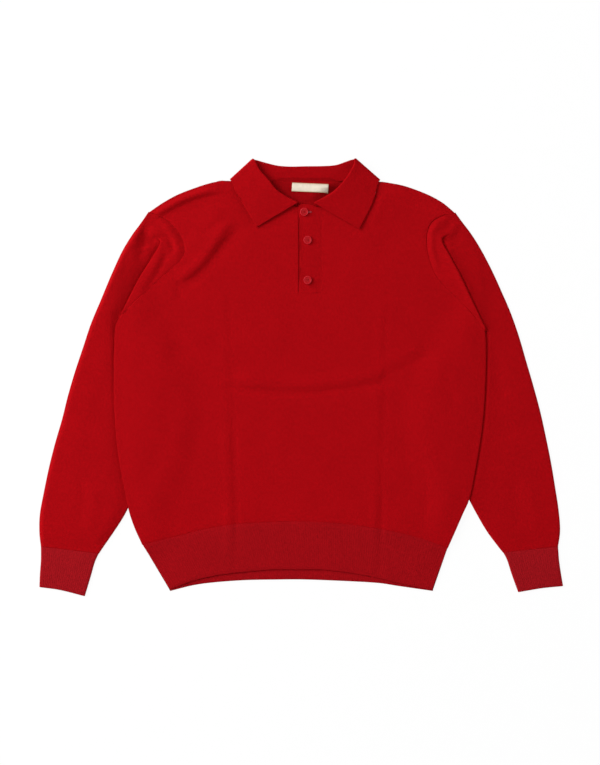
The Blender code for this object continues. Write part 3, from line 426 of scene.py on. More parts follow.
def nearest(points, path):
    """Distance in plan from each point to a path, and the share of the path's length there."""
    path = np.asarray(path, float)
    lengths = np.linalg.norm(np.diff(path, axis=0), axis=1)
    begun = np.concatenate([[0.0], np.cumsum(lengths)])
    gap = np.full(points.shape[:-1], np.inf)
    share = np.zeros(points.shape[:-1])
    for start, end, before, length in zip(path, path[1:], begun, lengths):
        along = end - start
        part = np.clip(((points - start) @ along) / length**2, 0.0, 1.0)
        away = np.linalg.norm(points - start - part[..., None] * along, axis=-1)
        closer = away < gap
        gap = np.where(closer, away, gap)
        share = np.where(closer, (before + part * length) / begun[-1], share)
    return gap, share


def distance_to_area(points, outline):
    """Distance in plan to a closed outline, 0 inside it."""
    closed = np.vstack([outline, outline[:1]])
    x, y = points[..., 0], points[..., 1]
    crossings = np.zeros(x.shape, int)
    for (x0, y0), (x1, y1) in zip(closed[:-1], closed[1:]):
        if y0 != y1:
            spans = (y0 > y) != (y1 > y)
            crossings += spans & (x < x0 + (y - y0) * (x1 - x0) / (y1 - y0))
    return np.where(crossings % 2 == 1, 0.0, nearest(points, closed)[0])


def wander(points, size, seed):
    """Smooth unevenness between -1 and 1, in patches of about the given size."""
    count = WANDER_CELLS
    values = np.random.default_rng(seed).uniform(-1.0, 1.0, (count, count))
    place = points / size + count / 2
    cell = np.floor(place).astype(int)
    x, y = cell[..., 0] % count, cell[..., 1] % count
    x1, y1 = (x + 1) % count, (y + 1) % count
    right, up = np.moveaxis(smooth(place - cell), -1, 0)
    low = blend(values[x, y], values[x1, y], right)
    high = blend(values[x, y1], values[x1, y1], right)
    return blend(low, high, up)


def uneven(points, kind):
    """Height that a kind of cloth's unevenness adds at each point."""
    return sum(height * wander(points, size, seed) for height, size, seed in UNEVEN[kind])


def creased(points, rows):
    """Height that creases add at each point."""
    strength = 1.0 + CREASE_UNEVEN * wander(points, CREASE_PATCH, CREASE_SEED)
    height = np.zeros(points.shape[:-1])
    for rise, width, path in rows:
        gap, share = nearest(points, evenly(path, CREASE_CELLS))
        taper = smooth(share / CREASE_TAPER) * smooth((1.0 - share) / CREASE_TAPER)
        height += rise * taper * strength * bell(gap, width)
    return height


# Levels: how high the cloth lies at a point in plan

def tucked_area(side):
    """Where a sleeve lies beneath the body."""
    table = SIDES[side]
    return np.vstack([table["side"][:-1], table["sleeve_inner"][13:3:-1]])


def fall_area():
    """Where the collar lies beneath the back panel."""
    rows = np.array(COLLAR_BACK)
    left, right = ([COLLAR_SHOULDER[side][4:]] for side in SIDES)
    return np.vstack([left, rows[:, 4:6], right, rows[::-1, 2:4]])


def leaf_area(side):
    """Where a leaf of the collar lies over the front panel."""
    rows = np.array(COLLAR_FRONT[side])
    return np.vstack([rows[:, 4:6], [COLLAR_SHOULDER[side][4:]], rows[::-1, 2:4]])


def close_to(points, area, flat, slope):
    """1 over an area and a flat strip round it, down to 0 at the end of a slope."""
    return 1.0 - smooth((distance_to_area(points, area) - flat) / slope)


def neck_bulge(points):
    """How far the back of the neck bulges up in the opening, and falls away beneath the right roll."""
    left = np.array(COLLAR_FRONT["left"])[:4, 2:4]
    right = np.array(COLLAR_FRONT["right"])[3::-1, 2:4]
    opening = np.vstack([left, np.array(COLLAR_BACK)[2:7, :2], right])
    inside = distance_to_area(points, opening) == 0.0
    fall = 1.0 - bell(nearest(points, np.vstack([right, left[:2]]))[0], NECK_FALL)
    climb = smooth(nearest(points, left)[0] / NECK_CLIMB)
    climb *= smooth((NECK_SEAM - points[..., 1]) / NECK_SEAM_SOFT)
    return np.where(inside, NECK_BULGE * fall * climb, 0.0)


def back_level(points):
    """Underside of the back panel."""
    level = COLLAR_LIFT * close_to(points, fall_area(), FALL_FLAT, FALL_SLOPE)
    for side in SIDES:
        tuck = TUCK * close_to(points, tucked_area(side), TUCK_FLAT, TUCK_SLOPE)
        level = np.maximum(level, tuck)
    return level + neck_bulge(points)


def edge_gap(points):
    """Distance in plan to the edges where the front lies close on the back."""
    gaps = []
    for side, corner in zip(SIDES, (FRONT_HEM[0], FRONT_HEM[-1])):
        gaps.append(nearest(points, SIDES[side]["shoulder"])[0])
        gaps.append(nearest(points, (*SIDES[side]["side"], corner))[0])
    return np.minimum.reduce(gaps)


def front_level(points):
    """Underside of the front panel, and of the front hem rib."""
    edge = edge_gap(points)
    inward = 1.0 - bell(edge, LOFT_WIDTH)
    below = smooth((HEM_EASE[0] - points[..., 1]) / HEM_EASE[1])
    air = inward * (LOFT * (1.0 - HEM_LOFT_LOSS * below) + uneven(points, "front"))
    shown = (1.0 - bell(edge, CREASE_EDGE)) * (1.0 - HEM_CREASE_LOSS * below)
    spare = air + shown * creased(points, FRONT_CREASES) - LEAST_LOFT * inward
    air = LEAST_LOFT * inward + 0.5 * (spare + np.sqrt(spare**2 + (LOFT_SOFT * inward) ** 2))
    level = back_level(points) + LAYER + air
    for side in SIDES:
        level = blend(level, NECK_LEVEL, close_to(points, leaf_area(side), NECK_FLAT, NECK_SLOPE))
    return level + creased(points, COLLAR_CREASES)


# Meshes

def differences(grid, axis, loop):
    """Steps along one axis of a grid of points, wrapped round on a loop."""
    if loop:
        return np.roll(grid, -1, axis=axis) - np.roll(grid, 1, axis=axis)
    return np.gradient(grid, axis=axis)


def linked(name, data):
    """A new object in the scene."""
    made = bpy.data.objects.new(name, data)
    bpy.context.scene.collection.objects.link(made)
    return made


def unit(vectors):
    return vectors / np.maximum(np.linalg.norm(vectors, axis=-1, keepdims=True), 1e-9)


def piece(name, points, faces, corners, outside, across, finish):
    """A mesh piece from points in millimetres, quads, and a place in the knit for each corner.

    Each point keeps whether it is on the outside, and its distance across the knit.
    """
    mesh = bpy.data.meshes.new(name)
    mesh.vertices.add(len(points))
    mesh.vertices.foreach_set("co", (points * MM).astype(np.float32).ravel())
    mesh.loops.add(faces.size)
    mesh.loops.foreach_set("vertex_index", faces.astype(np.int32).ravel())
    mesh.polygons.add(len(faces))
    mesh.polygons.foreach_set("loop_start", np.arange(0, faces.size, 4, dtype=np.int32))
    mesh.update(calc_edges=True)
    layer = mesh.uv_layers.new(name="knit")
    layer.data.foreach_set("uv", (corners * MM).astype(np.float32).ravel())
    for attribute, values in (("outside", outside), ("across", across * MM)):
        kept = mesh.attributes.new(attribute, "FLOAT", "POINT")
        kept.data.foreach_set("value", values.astype(np.float32))
    mesh.shade_smooth()
    mesh.materials.append(finish)
    return linked(name, mesh)


RIM_ANGLES = (55.0, 0.0, -55.0)  # round a free edge of the cloth, from its outside to its inside


def cloth(name, middle, wall, finish, knit=None, loop=False, missing=None):
    """A closed shell of cloth on a grid of points in the middle of its wall.

    Rows run down and columns to the right, seen from outside. Its free edges are half round. With
    loop, the last column joins the first. knit gives each point its place in the knit.
    """
    rows, columns = middle.shape[:2]
    normal = unit(np.cross(differences(middle, 0, False), differences(middle, 1, loop)))
    knit = middle[..., :2] if knit is None else knit
    if loop and knit.shape[1] == columns:
        knit = np.concatenate([knit, knit[:, :1]], axis=1)
    count = rows * columns
    number = np.arange(count).reshape(rows, columns)
    i, j = np.meshgrid(np.arange(rows - 1), np.arange(columns if loop else columns - 1), indexing="ij")
    keep = np.ones(i.shape, bool) if missing is None else ~missing
    i, j = i[keep], j[keep]
    k = (j + 1) % columns
    outside = np.stack([number[i, j], number[i + 1, j], number[i + 1, k], number[i, k]], axis=1)
    places = np.stack([knit[i, j], knit[i + 1, j], knit[i + 1, j + 1], knit[i, j + 1]], axis=1)
    radius = wall / 2

    # The edges that only one cell uses, in the order that keeps the cloth on their left.
    pairs = np.concatenate([outside[:, [a, (a + 1) % 4]] for a in range(4)])
    spots = np.concatenate([places[:, [a, (a + 1) % 4]] for a in range(4)])
    keys = np.sort(pairs, axis=1)
    keys = keys[:, 0] * count + keys[:, 1]
    _, where, uses = np.unique(keys, return_index=True, return_counts=True)
    border, border_knit = pairs[where[uses == 1]], spots[where[uses == 1]]
    flat_middle, flat_normal = middle.reshape(-1, 3).copy(), normal.reshape(-1, 3)
    outward = np.zeros_like(flat_middle)
    step = flat_middle[border[:, 1]] - flat_middle[border[:, 0]]
    away = unit(np.cross(step, flat_normal[border[:, 0]]))
    for end in (0, 1):
        np.add.at(outward, border[:, end], away)
    rim = np.unique(border)
    outward[rim] = unit(outward[rim])
    flat_middle[rim] -= outward[rim] * radius

    points = [flat_middle + flat_normal * radius, flat_middle - flat_normal * radius]
    for angle in RIM_ANGLES:
        across, up = math.cos(math.radians(angle)) * radius, math.sin(math.radians(angle)) * radius
        points.append(flat_middle[rim] + outward[rim] * across + flat_normal[rim] * up)
    place_on_rim = np.full(count, -1)
    place_on_rim[rim] = np.arange(len(rim))
    faces = [outside, outside[:, ::-1] + count]
    corners = [places, places[:, ::-1]]
    loops = [border] + [place_on_rim[border] + 2 * count + n * len(rim) for n in range(len(RIM_ANGLES))]
    loops.append(border + count)
    for upper, lower in zip(loops, loops[1:]):
        faces.append(np.stack([upper[:, 1], upper[:, 0], lower[:, 0], lower[:, 1]], axis=1))
        corners.append(np.stack(
            [border_knit[:, 1], border_knit[:, 0], border_knit[:, 0], border_knit[:, 1]], axis=1
        ))
    points, faces = np.concatenate(points), np.concatenate(faces)
    corners = np.concatenate(corners).reshape(-1, 2)
    own_across = knit[:, :columns, 0].ravel()
    across = np.concatenate([own_across, own_across] + [own_across[rim]] * len(RIM_ANGLES))
    is_outside = np.arange(len(points)) < count
    used = np.unique(faces)
    fresh = np.full(len(points), -1)
    fresh[used] = np.arange(len(used))
    return piece(name, points[used], fresh[faces], corners, is_outside[used], across[used], finish)


def rounded_in(gap, reach):
    """From 1 on an edge to 0 at a reach from it, as a quarter round."""
    share = np.clip(1.0 - gap / reach, 0.0, 1.0)
    return 1.0 - np.sqrt(1.0 - share**2)


def settled(made, slot, *nodes):
    """A finished piece rides on the one body, and stands for its solids."""
    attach(made, "root")
    if nodes:
        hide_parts(*nodes)
    return made


# Body panels

SEAM_LAP = 0.9  # how far a joined edge runs in under its neighbour's rounded one
ARMHOLE_LAP = 1.8  # how far a sleeve does at the armhole, and how far it sinks there
ARMHOLE_SINK = 0.7
EDGE_REACH = 3.2  # how far from its edge the body starts to round down
EDGE_DROP = 0.8
ARMHOLE_GROOVE = 0.45
ARMHOLE_GROOVE_WIDTH = 3.0
GROOVE_BEGINS = 0.12  # shares of the armhole over which its groove begins, ends and fades
GROOVE_ENDS = 0.5
GROOVE_FADES = 0.16
RIB_GROOVE = 0.12
RIB_GROOVE_WIDTH = 2.6
HEM_CELLS = 400  # how finely the rib seam is searched for the band's edges


def hem_shares():
    """Where along the rib seam the band's two edges come down."""
    across = evenly(RIB_TOP, HEM_CELLS)[:, 0]
    return [float(np.argmin(np.abs(across - x))) / HEM_CELLS for x in BAND_CUTS]


def half_panel(side, armhole, coarser):
    """Half of a body panel, its columns running away from the centre."""
    table = SIDES[side]
    number = 0 if side == "left" else 1
    armhole_cells, side_cells, neck_cells, band_cells = (
        cells // coarser for cells in (ARMHOLE_CELLS, SIDE_CELLS, NECK_CELLS, BAND_CELLS)
    )
    outer = joined(evenly(table[armhole], armhole_cells), evenly(table["side"], side_cells))
    seam = np.array(COLLAR_FRONT[side])[::-1, :2] - (0.0, NECK_EASE)
    neck = np.vstack([table["shoulder"][0], seam[:-1], (BAND_CUTS[number], seam[-1][1])])
    corner = np.array((BAND_CUTS[number], BAND_BOTTOM))
    share = hem_shares()[number]
    down = np.linspace(0.0, 1.0, side_cells + armhole_cells - neck_cells - band_cells + 1)[:, None]
    inner = joined(
        evenly(neck, neck_cells), np.linspace(neck[-1], corner, band_cells + 1),
        blend(corner, curve(RIB_TOP, [share])[0], down),
    )
    columns = np.concatenate([
        np.linspace(0.0, EDGE_COLUMNS[0], PLAIN_COLUMNS // coarser, endpoint=False), EDGE_COLUMNS,
    ])
    top = curve(table["shoulder"], columns)
    bottom = curve(RIB_TOP, share + (number - share) * columns)
    rows = np.linspace(0.0, 1.0, len(outer))[:, None, None]
    columns = columns[None, :, None]
    corners = blend(blend(top[0], top[-1], columns), blend(bottom[0], bottom[-1], columns), rows)
    return blend(top[None], bottom[None], rows) + blend(inner[:, None], outer[:, None], columns) - corners


def panel_plan(armhole, coarser, middle_columns):
    """A whole body panel's plan points, and the number of its left half's columns."""
    left = half_panel("left", armhole, coarser)[:, ::-1]
    right = half_panel("right", armhole, coarser)
    share = np.linspace(0.0, 1.0, middle_columns + 1)[None, 1:-1, None]
    middle = blend(left[:, -1:], right[:, :1], share)
    return np.concatenate([left, middle, right], axis=1), left.shape[1]


def armhole_groove(points, path):
    """Depth of the groove along an armhole seam, which shows over the shoulder and fades below."""
    gap, share = nearest(points, path)
    shown = smooth(share / GROOVE_BEGINS) * smooth((GROOVE_ENDS - share) / GROOVE_FADES)
    return ARMHOLE_GROOVE * shown * bell(gap, ARMHOLE_GROOVE_WIDTH)


def rib_groove(plan):
    """Depth of the groove along the front's rib seam."""
    return RIB_GROOVE * bell(nearest(plan, evenly(RIB_TOP, SEAM_PATH))[0], RIB_GROOVE_WIDTH)


def seam_drop(plan):
    """How far the front's edges come in towards the back, and its grooves at the seams."""
    drop = rib_groove(plan)
    for table in SIDES.values():
        gap = np.minimum(nearest(plan, table["shoulder"])[0], nearest(plan, table["side"])[0])
        drop += EDGE_DROP * rounded_in(gap, EDGE_REACH)
        drop += armhole_groove(plan, evenly(table["front_armhole"], SEAM_PATH))
    return drop


def make_front(knit):
    plan, left_columns = panel_plan("front_armhole", 1, MIDDLE_COLUMNS)
    missing = np.zeros((plan.shape[0] - 1, plan.shape[1] - 1), bool)
    missing[:NECK_CELLS + BAND_CELLS, left_columns - 1:left_columns - 1 + MIDDLE_COLUMNS] = True
    level = front_level(plan) + PANEL / 2 - seam_drop(plan)
    made = cloth("front_panel", np.dstack([plan, level]), PANEL, knit, missing=missing)
    settled(made, "knit", "front")


def make_back(knit):
    plan, _ = panel_plan("back_armhole", BACK_SHARE, BACK_MIDDLE_COLUMNS)
    level = back_level(plan) + PANEL / 2 + EDGE_DROP * rounded_in(edge_gap(plan), EDGE_REACH)
    made = cloth("back_panel", np.dstack([plan, level]), PANEL, knit)
    # Its upward face is the knit's inside, which the knit material darkens: partly the duller purl side,
    # partly painted shade in the neck's hollow.
    for point in made.data.attributes["outside"].data:
        point.value = 1.0 - point.value
    settled(made, "knit", "back")


# Hem ribs

RIB_COLUMNS = 6  # for each rib
RIB_RELIEF = 0.17  # height of the ribs, softened by wear
HEM_ROWS = 12


def hem_plan(hem):
    """Plan points of a hem rib, and their places in its knit."""
    width = np.linalg.norm(np.subtract(RIB_TOP[-1], RIB_TOP[0]))
    ribs = round(width / RIB_PITCH)
    shares = np.linspace(0.0, 1.0, RIB_COLUMNS * ribs + 1)
    down = np.linspace(0.0, 1.0, HEM_ROWS + 1)[:, None, None]
    top, bottom = curve(RIB_TOP, shares) + (0.0, SEAM_LAP), curve(hem, shares)
    plan = blend(top, bottom, down)
    across = np.broadcast_to(shares * ribs * RIB_PITCH, plan.shape[:2])
    return plan, np.dstack([across, plan[..., 1]])


def hem_rib(name, node, hem, base, drop, ribbed, relief):
    """A hem rib on a base level, its ends coming in towards the other rib."""
    plan, knit = hem_plan(hem)
    ends = np.minimum(*(nearest(plan, (RIB_TOP[end], hem[end]))[0] for end in (0, -1)))
    level = base(plan) + RIB_WALL / 2 - drop * rounded_in(ends, EDGE_REACH)
    made = cloth(name, np.dstack([plan, level]), RIB_WALL, ribbed, knit=knit)
    return settled(with_ribs(made, relief), "rib", node)


def make_hem_front(ribbed, relief):
    def base(plan):
        return front_level(plan) - rib_groove(plan)

    made = hem_rib("hem_front_rib", "hem_rib_front", FRONT_HEM, base, EDGE_DROP, ribbed, relief)


def make_hem_back(ribbed, relief):
    def base(plan):
        return np.zeros(plan.shape[:2])

    made = hem_rib("hem_back_rib", "hem_rib_back", BACK_HEM, base, -EDGE_DROP, ribbed, relief)


# Sleeves and cuffs

TUBE_EDGE = 4.0  # how far from its edge a flattened tube starts to round
TUBE_ANGLES = np.radians((0.0, 25.0, 48.0, 70.0, 90.0))
SLEEVE_COLUMNS = 58
SLEEVE_UNDER_COLUMNS = 26
SLEEVE_STEP = 2.9
UPPER_ROWS = 16  # from the armhole seam to the fold
ROLL_ROWS = 8  # round the fold
FOOT_ROWS = 4  # from beneath the fold out to its foot
UNDER_AT_ROLL = 1.25  # where the underside has got to at the end of the roll, in rings
UNDER_LIFT = 0.5  # share of the body's height that the underside has there
SEAM_ROWS = 5.0  # rows from the armhole seam over which the creases begin
SWELL_ROWS = (10.0, 2.0)  # rows over which the swell begins, unfolded and folded
SLEEVE_TROUGH = 0.3  # the deepest that a trough goes below the flat sleeve
SLEEVE_LOFT = 2.6  # the swell of a sleeve with air in it, and what is added close to the shoulder
SLEEVE_UPPER_LOFT = 5.0
UPPER_MIDDLE = 195.0
UPPER_REACH = 95.0
SLEEVE_EDGE_WIDTH = {"left": 3.0, "right": 6.0}  # how far from its edges most of the swell is there
INNER_EDGE_WIDTH = 10.0
FOLD_FALL = (  # y, and how late the left sleeve falls to its fold there
    (60.0, 12.0), (100.0, 6.0), (140.0, 3.4), (170.0, 2.8), (200.0, 2.0),
)
FOLD_GUARD = 0.1  # keeps the share of the way in finite where the fold meets the outer edge
UNDER_BODY_WIDTH = 4.0  # how far from the body's edge the right sleeve stands up
OUTWARD_SWELL = 0.22  # share of the swell that the right sleeve has
OUTWARD_FALL = 0.85  # share of that which is gone at its outer edge
FOLD_SWELL = 2.4  # more of it close to the fold, and how close
FOLD_NEAR = 9.0
CUFF_LINE = -276.0
CUFF_GATHER = 26.0  # length over which a sleeve comes down to its cuff
FOLD_RISE = {"left": 3.0, "right": 5.8}  # height of the fold's crest over the sleeve
FOLD_RISE_SHARE = 0.3
FOLD_START_SOFT = 0.035


def ring_shares(width, columns):
    """Shares across a flattened tube, close together where its edges round."""
    near = TUBE_EDGE * (1.0 - np.cos(TUBE_ANGLES)) / width
    between = np.linspace(near[-1], 1.0 - near[-1], columns + 1)[1:-1]
    return np.concatenate([near, between, 1.0 - near[::-1]])


def edge_round(columns):
    """For each column across a tube, 0 on its edges and 1 where it is flat."""
    return np.concatenate([np.sin(TUBE_ANGLES), np.ones(columns - 1), np.sin(TUBE_ANGLES)[::-1]])


def width_of(run):
    return float(lengths_along(evenly(run, EDGE_PATH))[-1])


def sleeve_stations(side, upper, columns):
    """Plan points of each ring of the sleeve's table, on its upper or its lower layer."""
    table = SIDES[side]
    turn = 1.0 if side == "left" else -1.0
    names = ("front_armhole", "fold_top", "fold_foot")
    if not upper:
        names = ("back_armhole", "under_fold_top", "under_fold_foot")
    runs = [table[name] for name in names]
    runs += zip(table["sleeve_outer"][3:], table["sleeve_inner"][3:])
    stations = np.array([curve(run, ring_shares(width_of(run), columns)) for run in runs])
    stations[0] = moved_sideways(stations[0], turn * ARMHOLE_LAP)
    stations[-1, :, 1] -= SEAM_LAP
    return stations, np.array([width_of(run) for run in runs])


def flattened_tube(name, over, under, wall, knit_over, knit_under, side, finish):
    """A closed shell round a tube that lies flat, from the points of its two layers."""
    ring = np.concatenate([over, under[:, -2:0:-1]], axis=1)
    knit = np.concatenate([knit_over, knit_under[:, -2::-1]], axis=1)
    if side == "right":
        ring = np.concatenate([ring[:, :1], ring[:, :0:-1]], axis=1)
        knit = knit[:, ::-1]
    return cloth(name, ring, wall, finish, knit=knit, loop=True)


def sleeve_head(side, over_at):
    """The upper layer from the armhole seam to the fold, round it, and out from beneath it.

    Gives each row's plan, level and place among the stations, and how folded each column is.
    """
    table = SIDES[side]
    along = np.linspace(0.0, 1.0, over_at.shape[1])
    crest = SLEEVE_TOP + smooth(along / FOLD_RISE_SHARE) * FOLD_RISE[side]
    crest = np.maximum(crest, back_level(over_at[1]) + SLEEVE_TOP + SEAM)
    radius = 0.5 * (crest - SLEEVE_TOP)
    folds = smooth((along - table["fold_start"] + FOLD_START_SOFT) / (2 * FOLD_START_SOFT))
    outward = unit(over_at[2] - over_at[1])
    reach = np.linalg.norm(over_at[2] - over_at[1], axis=-1)
    seam = evenly(table["front_armhole"], SEAM_PATH)
    seam_level = front_level(over_at[0]) + PANEL / 2
    rows = []

    def add_row(away, unrolled, rolled_level, place):
        open_level = blend(crest, SLEEVE_TOP, smooth((unrolled + radius) / (reach + radius)))
        level = blend(open_level, rolled_level, folds)
        rows.append((over_at[1] + outward * away[:, None], level, place))

    for share in np.linspace(0.0, 1.0, UPPER_ROWS, endpoint=False):
        plan = blend(over_at[0], over_at[1] - outward * radius[:, None], share)
        sunk = ARMHOLE_SINK * (1.0 - smooth(nearest(plan, over_at[0])[0] / (2.0 * ARMHOLE_LAP)))
        rows.append((plan, blend(seam_level, crest, share) - armhole_groove(plan, seam) - sunk, share))
    for share in np.linspace(0.0, 1.0, ROLL_ROWS + 1):
        angle = math.pi * (0.5 - share)
        unrolled = radius * (2.0 * share - 1.0)
        away = blend(unrolled, radius * (math.cos(angle) - 1.0), folds)
        rolled_level = SLEEVE_TOP + radius * (1.0 + math.sin(angle))
        add_row(away, unrolled, rolled_level, blend(1.0, UNDER_AT_ROLL, share))
    for share in np.linspace(0.0, 1.0, FOOT_ROWS + 1)[1:]:
        away = blend(radius * (1.0 - 2.0 * folds), reach, share)
        add_row(away, away, SLEEVE_TOP, blend(UNDER_AT_ROLL, 2.0, share))
    return rows, folds


def sleeve_swell(side, plan):
    """How far the air in a sleeve lifts its upper layer, and the distance to its edges."""
    table = SIDES[side]
    outer, inner = (
        nearest(plan, evenly(table[name], EDGE_PATH))[0] for name in ("sleeve_outer", "sleeve_inner")
    )
    fold = evenly(table["fold_top"], SEAM_PATH)[round(SEAM_PATH * table["fold_start"]):]
    under_body = distance_to_area(plan, tucked_area(side))
    near_fold = np.minimum(nearest(plan, fold)[0], under_body)
    inward = outer / (outer + near_fold + FOLD_GUARD)
    swell = SLEEVE_LOFT + SLEEVE_UPPER_LOFT * bell(plan[..., 1] - UPPER_MIDDLE, UPPER_REACH)
    swell += uneven(plan, "sleeve")
    swell *= (1.0 - bell(outer, SLEEVE_EDGE_WIDTH[side])) * (1.0 - bell(inner, INNER_EDGE_WIDTH))
    swell *= smooth((plan[..., 1] - CUFF_LINE) / CUFF_GATHER)
    if side == "left":
        swell *= 1.0 - inward ** np.interp(plan[..., 1], *np.transpose(FOLD_FALL))
    else:
        swell *= OUTWARD_SWELL * (1.0 - OUTWARD_FALL * (1.0 - inward))
        swell += FOLD_SWELL * np.exp(-near_fold / FOLD_NEAR)
        swell *= 1.0 - bell(under_body, UNDER_BODY_WIDTH)
    return swell, np.minimum(outer, inner)


def to_tips(level, tip, columns):
    """A layer's level with its edges rounded to the two tips of its tube."""
    first = np.arange(level.shape[1]) < level.shape[1] / 2
    tips = np.where(first, tip[:, :1], tip[:, 1:])
    return tips + (level - tips) * edge_round(columns)


def make_sleeve(side, knit):
    over_at, widths = sleeve_stations(side, True, SLEEVE_COLUMNS)
    under_at, _ = sleeve_stations(side, False, SLEEVE_UNDER_COLUMNS)
    length = lengths_along(over_at[2:].mean(axis=1))
    wanted = np.arange(1, round(length[-1] / SLEEVE_STEP) + 1) * SLEEVE_STEP
    wanted *= length[-1] / wanted[-1]
    places = 2.0 + np.interp(wanted, length, np.arange(len(length)))

    rows, folds = sleeve_head(side, over_at)
    plan = np.concatenate([np.array([row[0] for row in rows]), through(over_at, places)])
    level = np.array([row[1] for row in rows])
    level = np.concatenate([level, np.full((len(places), len(folds)), SLEEVE_TOP)])
    places = np.concatenate([[row[2] for row in rows], places])
    swell, edges = sleeve_swell(side, plan)
    number = np.arange(len(plan))[:, None]
    begun = smooth((number - len(rows) + FOOT_ROWS) / blend(*SWELL_ROWS, folds))
    lines = creased(plan, SLEEVE_CREASES[side]) * (1.0 - bell(edges, CREASE_EDGE))
    level += begun * swell + lines * np.clip(number / SEAM_ROWS, 0.0, 1.0)
    level = np.maximum(level, SLEEVE_TOP - SLEEVE_TROUGH)

    under_plan = through(under_at, places)
    lower = np.zeros(under_at.shape[:2])
    lower[0] = back_level(under_at[0])
    lower[1] = UNDER_LIFT * back_level(under_at[1]) * smooth(np.linspace(0.0, 1.0, lower.shape[1]))
    under_level = np.maximum(through(lower[..., None], places)[..., 0], 0.0) + PANEL / 2
    tip = 0.5 * (level[:, [0, -1]] + under_level[:, [0, -1]])
    over = np.dstack([plan, to_tips(level, tip, SLEEVE_COLUMNS)])
    under = np.dstack([under_plan, to_tips(under_level, tip, SLEEVE_UNDER_COLUMNS)])

    width = np.interp(places, np.arange(len(widths)), widths)[:, None]
    down = -lengths_along(plan.mean(axis=1))[:, None]
    knits = []
    for layer, first, turn in ((plan, -0.5, 1.0), (under_plan, 1.5, -1.0)):
        around = width * (first + turn * np.linspace(0.0, 1.0, layer.shape[1]))
        knits.append(np.dstack(np.broadcast_arrays(around, down)))
    made = flattened_tube(f"sleeve_{side}_shell", over, under, PANEL, *knits, side, knit)
    settled(made, "knit", f"sleeve_{side}")


CUFF_ROWS = 12
CUFF_UNDER_COLUMNS = 30
CUFF_LOFT = 0.5
CUFF_LENGTH = 65.0
CUFF_BEGINS = 0.3  # share of its length over which its loft begins


def make_cuff(side, ribbed, relief):
    table = SIDES[side]
    width = width_of((table["cuff_outer"][0], table["cuff_inner"][0]))
    ribs = round(width / RIB_PITCH)
    end = np.array(table["cuff_end"])
    depth = np.linspace(0.0, 1.0, CUFF_ROWS + 1)[:, None]
    layers = []
    for count, first, turn in ((ribs * RIB_COLUMNS, 0.0, 1.0), (CUFF_UNDER_COLUMNS, 2.0, -1.0)):
        shares = ring_shares(width, count)
        across = shares[:, None]
        bow = curve(end, shares) - blend(end[0], end[-1], across)
        outer, inner = (curve(table[name], depth[:, 0]) for name in ("cuff_outer", "cuff_inner"))
        plan = blend(outer[:, None], inner[:, None], across) + depth[..., None] * bow
        around = ribs * RIB_PITCH * (first + turn * shares)
        layers.append((plan, np.dstack(np.broadcast_arrays(around, -CUFF_LENGTH * depth))))
    (plan, knit_over), (under_plan, knit_under) = layers
    low, high = RIB_WALL / 2, 1.5 * RIB_WALL + SEAM
    tip = 0.5 * (low + high)
    air = (CUFF_LOFT + uneven(plan, "cuff")) * smooth(depth / CUFF_BEGINS)
    air -= RIB_GROOVE * bell(CUFF_LENGTH * depth, RIB_GROOVE_WIDTH)
    level = tip + (high - tip + air) * edge_round(ribs * RIB_COLUMNS)
    under_level = tip + (low - tip) * edge_round(CUFF_UNDER_COLUMNS)
    over = np.dstack([plan, level])
    under = np.dstack([under_plan, np.broadcast_to(under_level, under_plan.shape[:2])])
    made = flattened_tube(f"cuff_{side}_rib", over, under, RIB_WALL, knit_over, knit_under, side, ribbed)
    settled(with_ribs(made, relief), "rib", f"cuff_{side}")


# Collar

COLLAR_FRONT_CELLS = 34
COLLAR_BACK_CELLS = 60
FOLD_ANGLES = np.linspace(90.0, -90.0, 19)
STAND_SHARES = (0.0, 0.25, 0.5, 0.75)
ROLL_ANGLES = np.radians(np.linspace(-90.0, 90.0, 11))
LEAF_SHARES = np.concatenate([np.linspace(0.0, 0.94, 20)[1:], (0.97, 0.985, 1.0)])
STAND_RISE = 1.4  # how the stand climbs to the puffed roll: 1 is straight
LEAF_RISE = 0.8  # how far the leaves' outer edges stand off the front
FRONT_PUFF = 7.6  # how far the roll stands up over its solid, at the front and at the back
BACK_PUFF = 4.6
PUFF_FALL = 1.2  # how the leaf comes down from it to its outer edge: 1 is straight
PUFF_AT_END = 0.55  # share of it at the collar's front ends
PUFF_AT_CORNER = 0.1  # and where the back comes to the right shoulder
CORNER_REACH = 0.24  # share of the back over which it grows from there
PUFF_GROWS = 1.6  # how soon it grows from the front ends: 1 is at the shoulder
LEAF_EASE = 4.0  # columns over which a leaf's unevenness begins


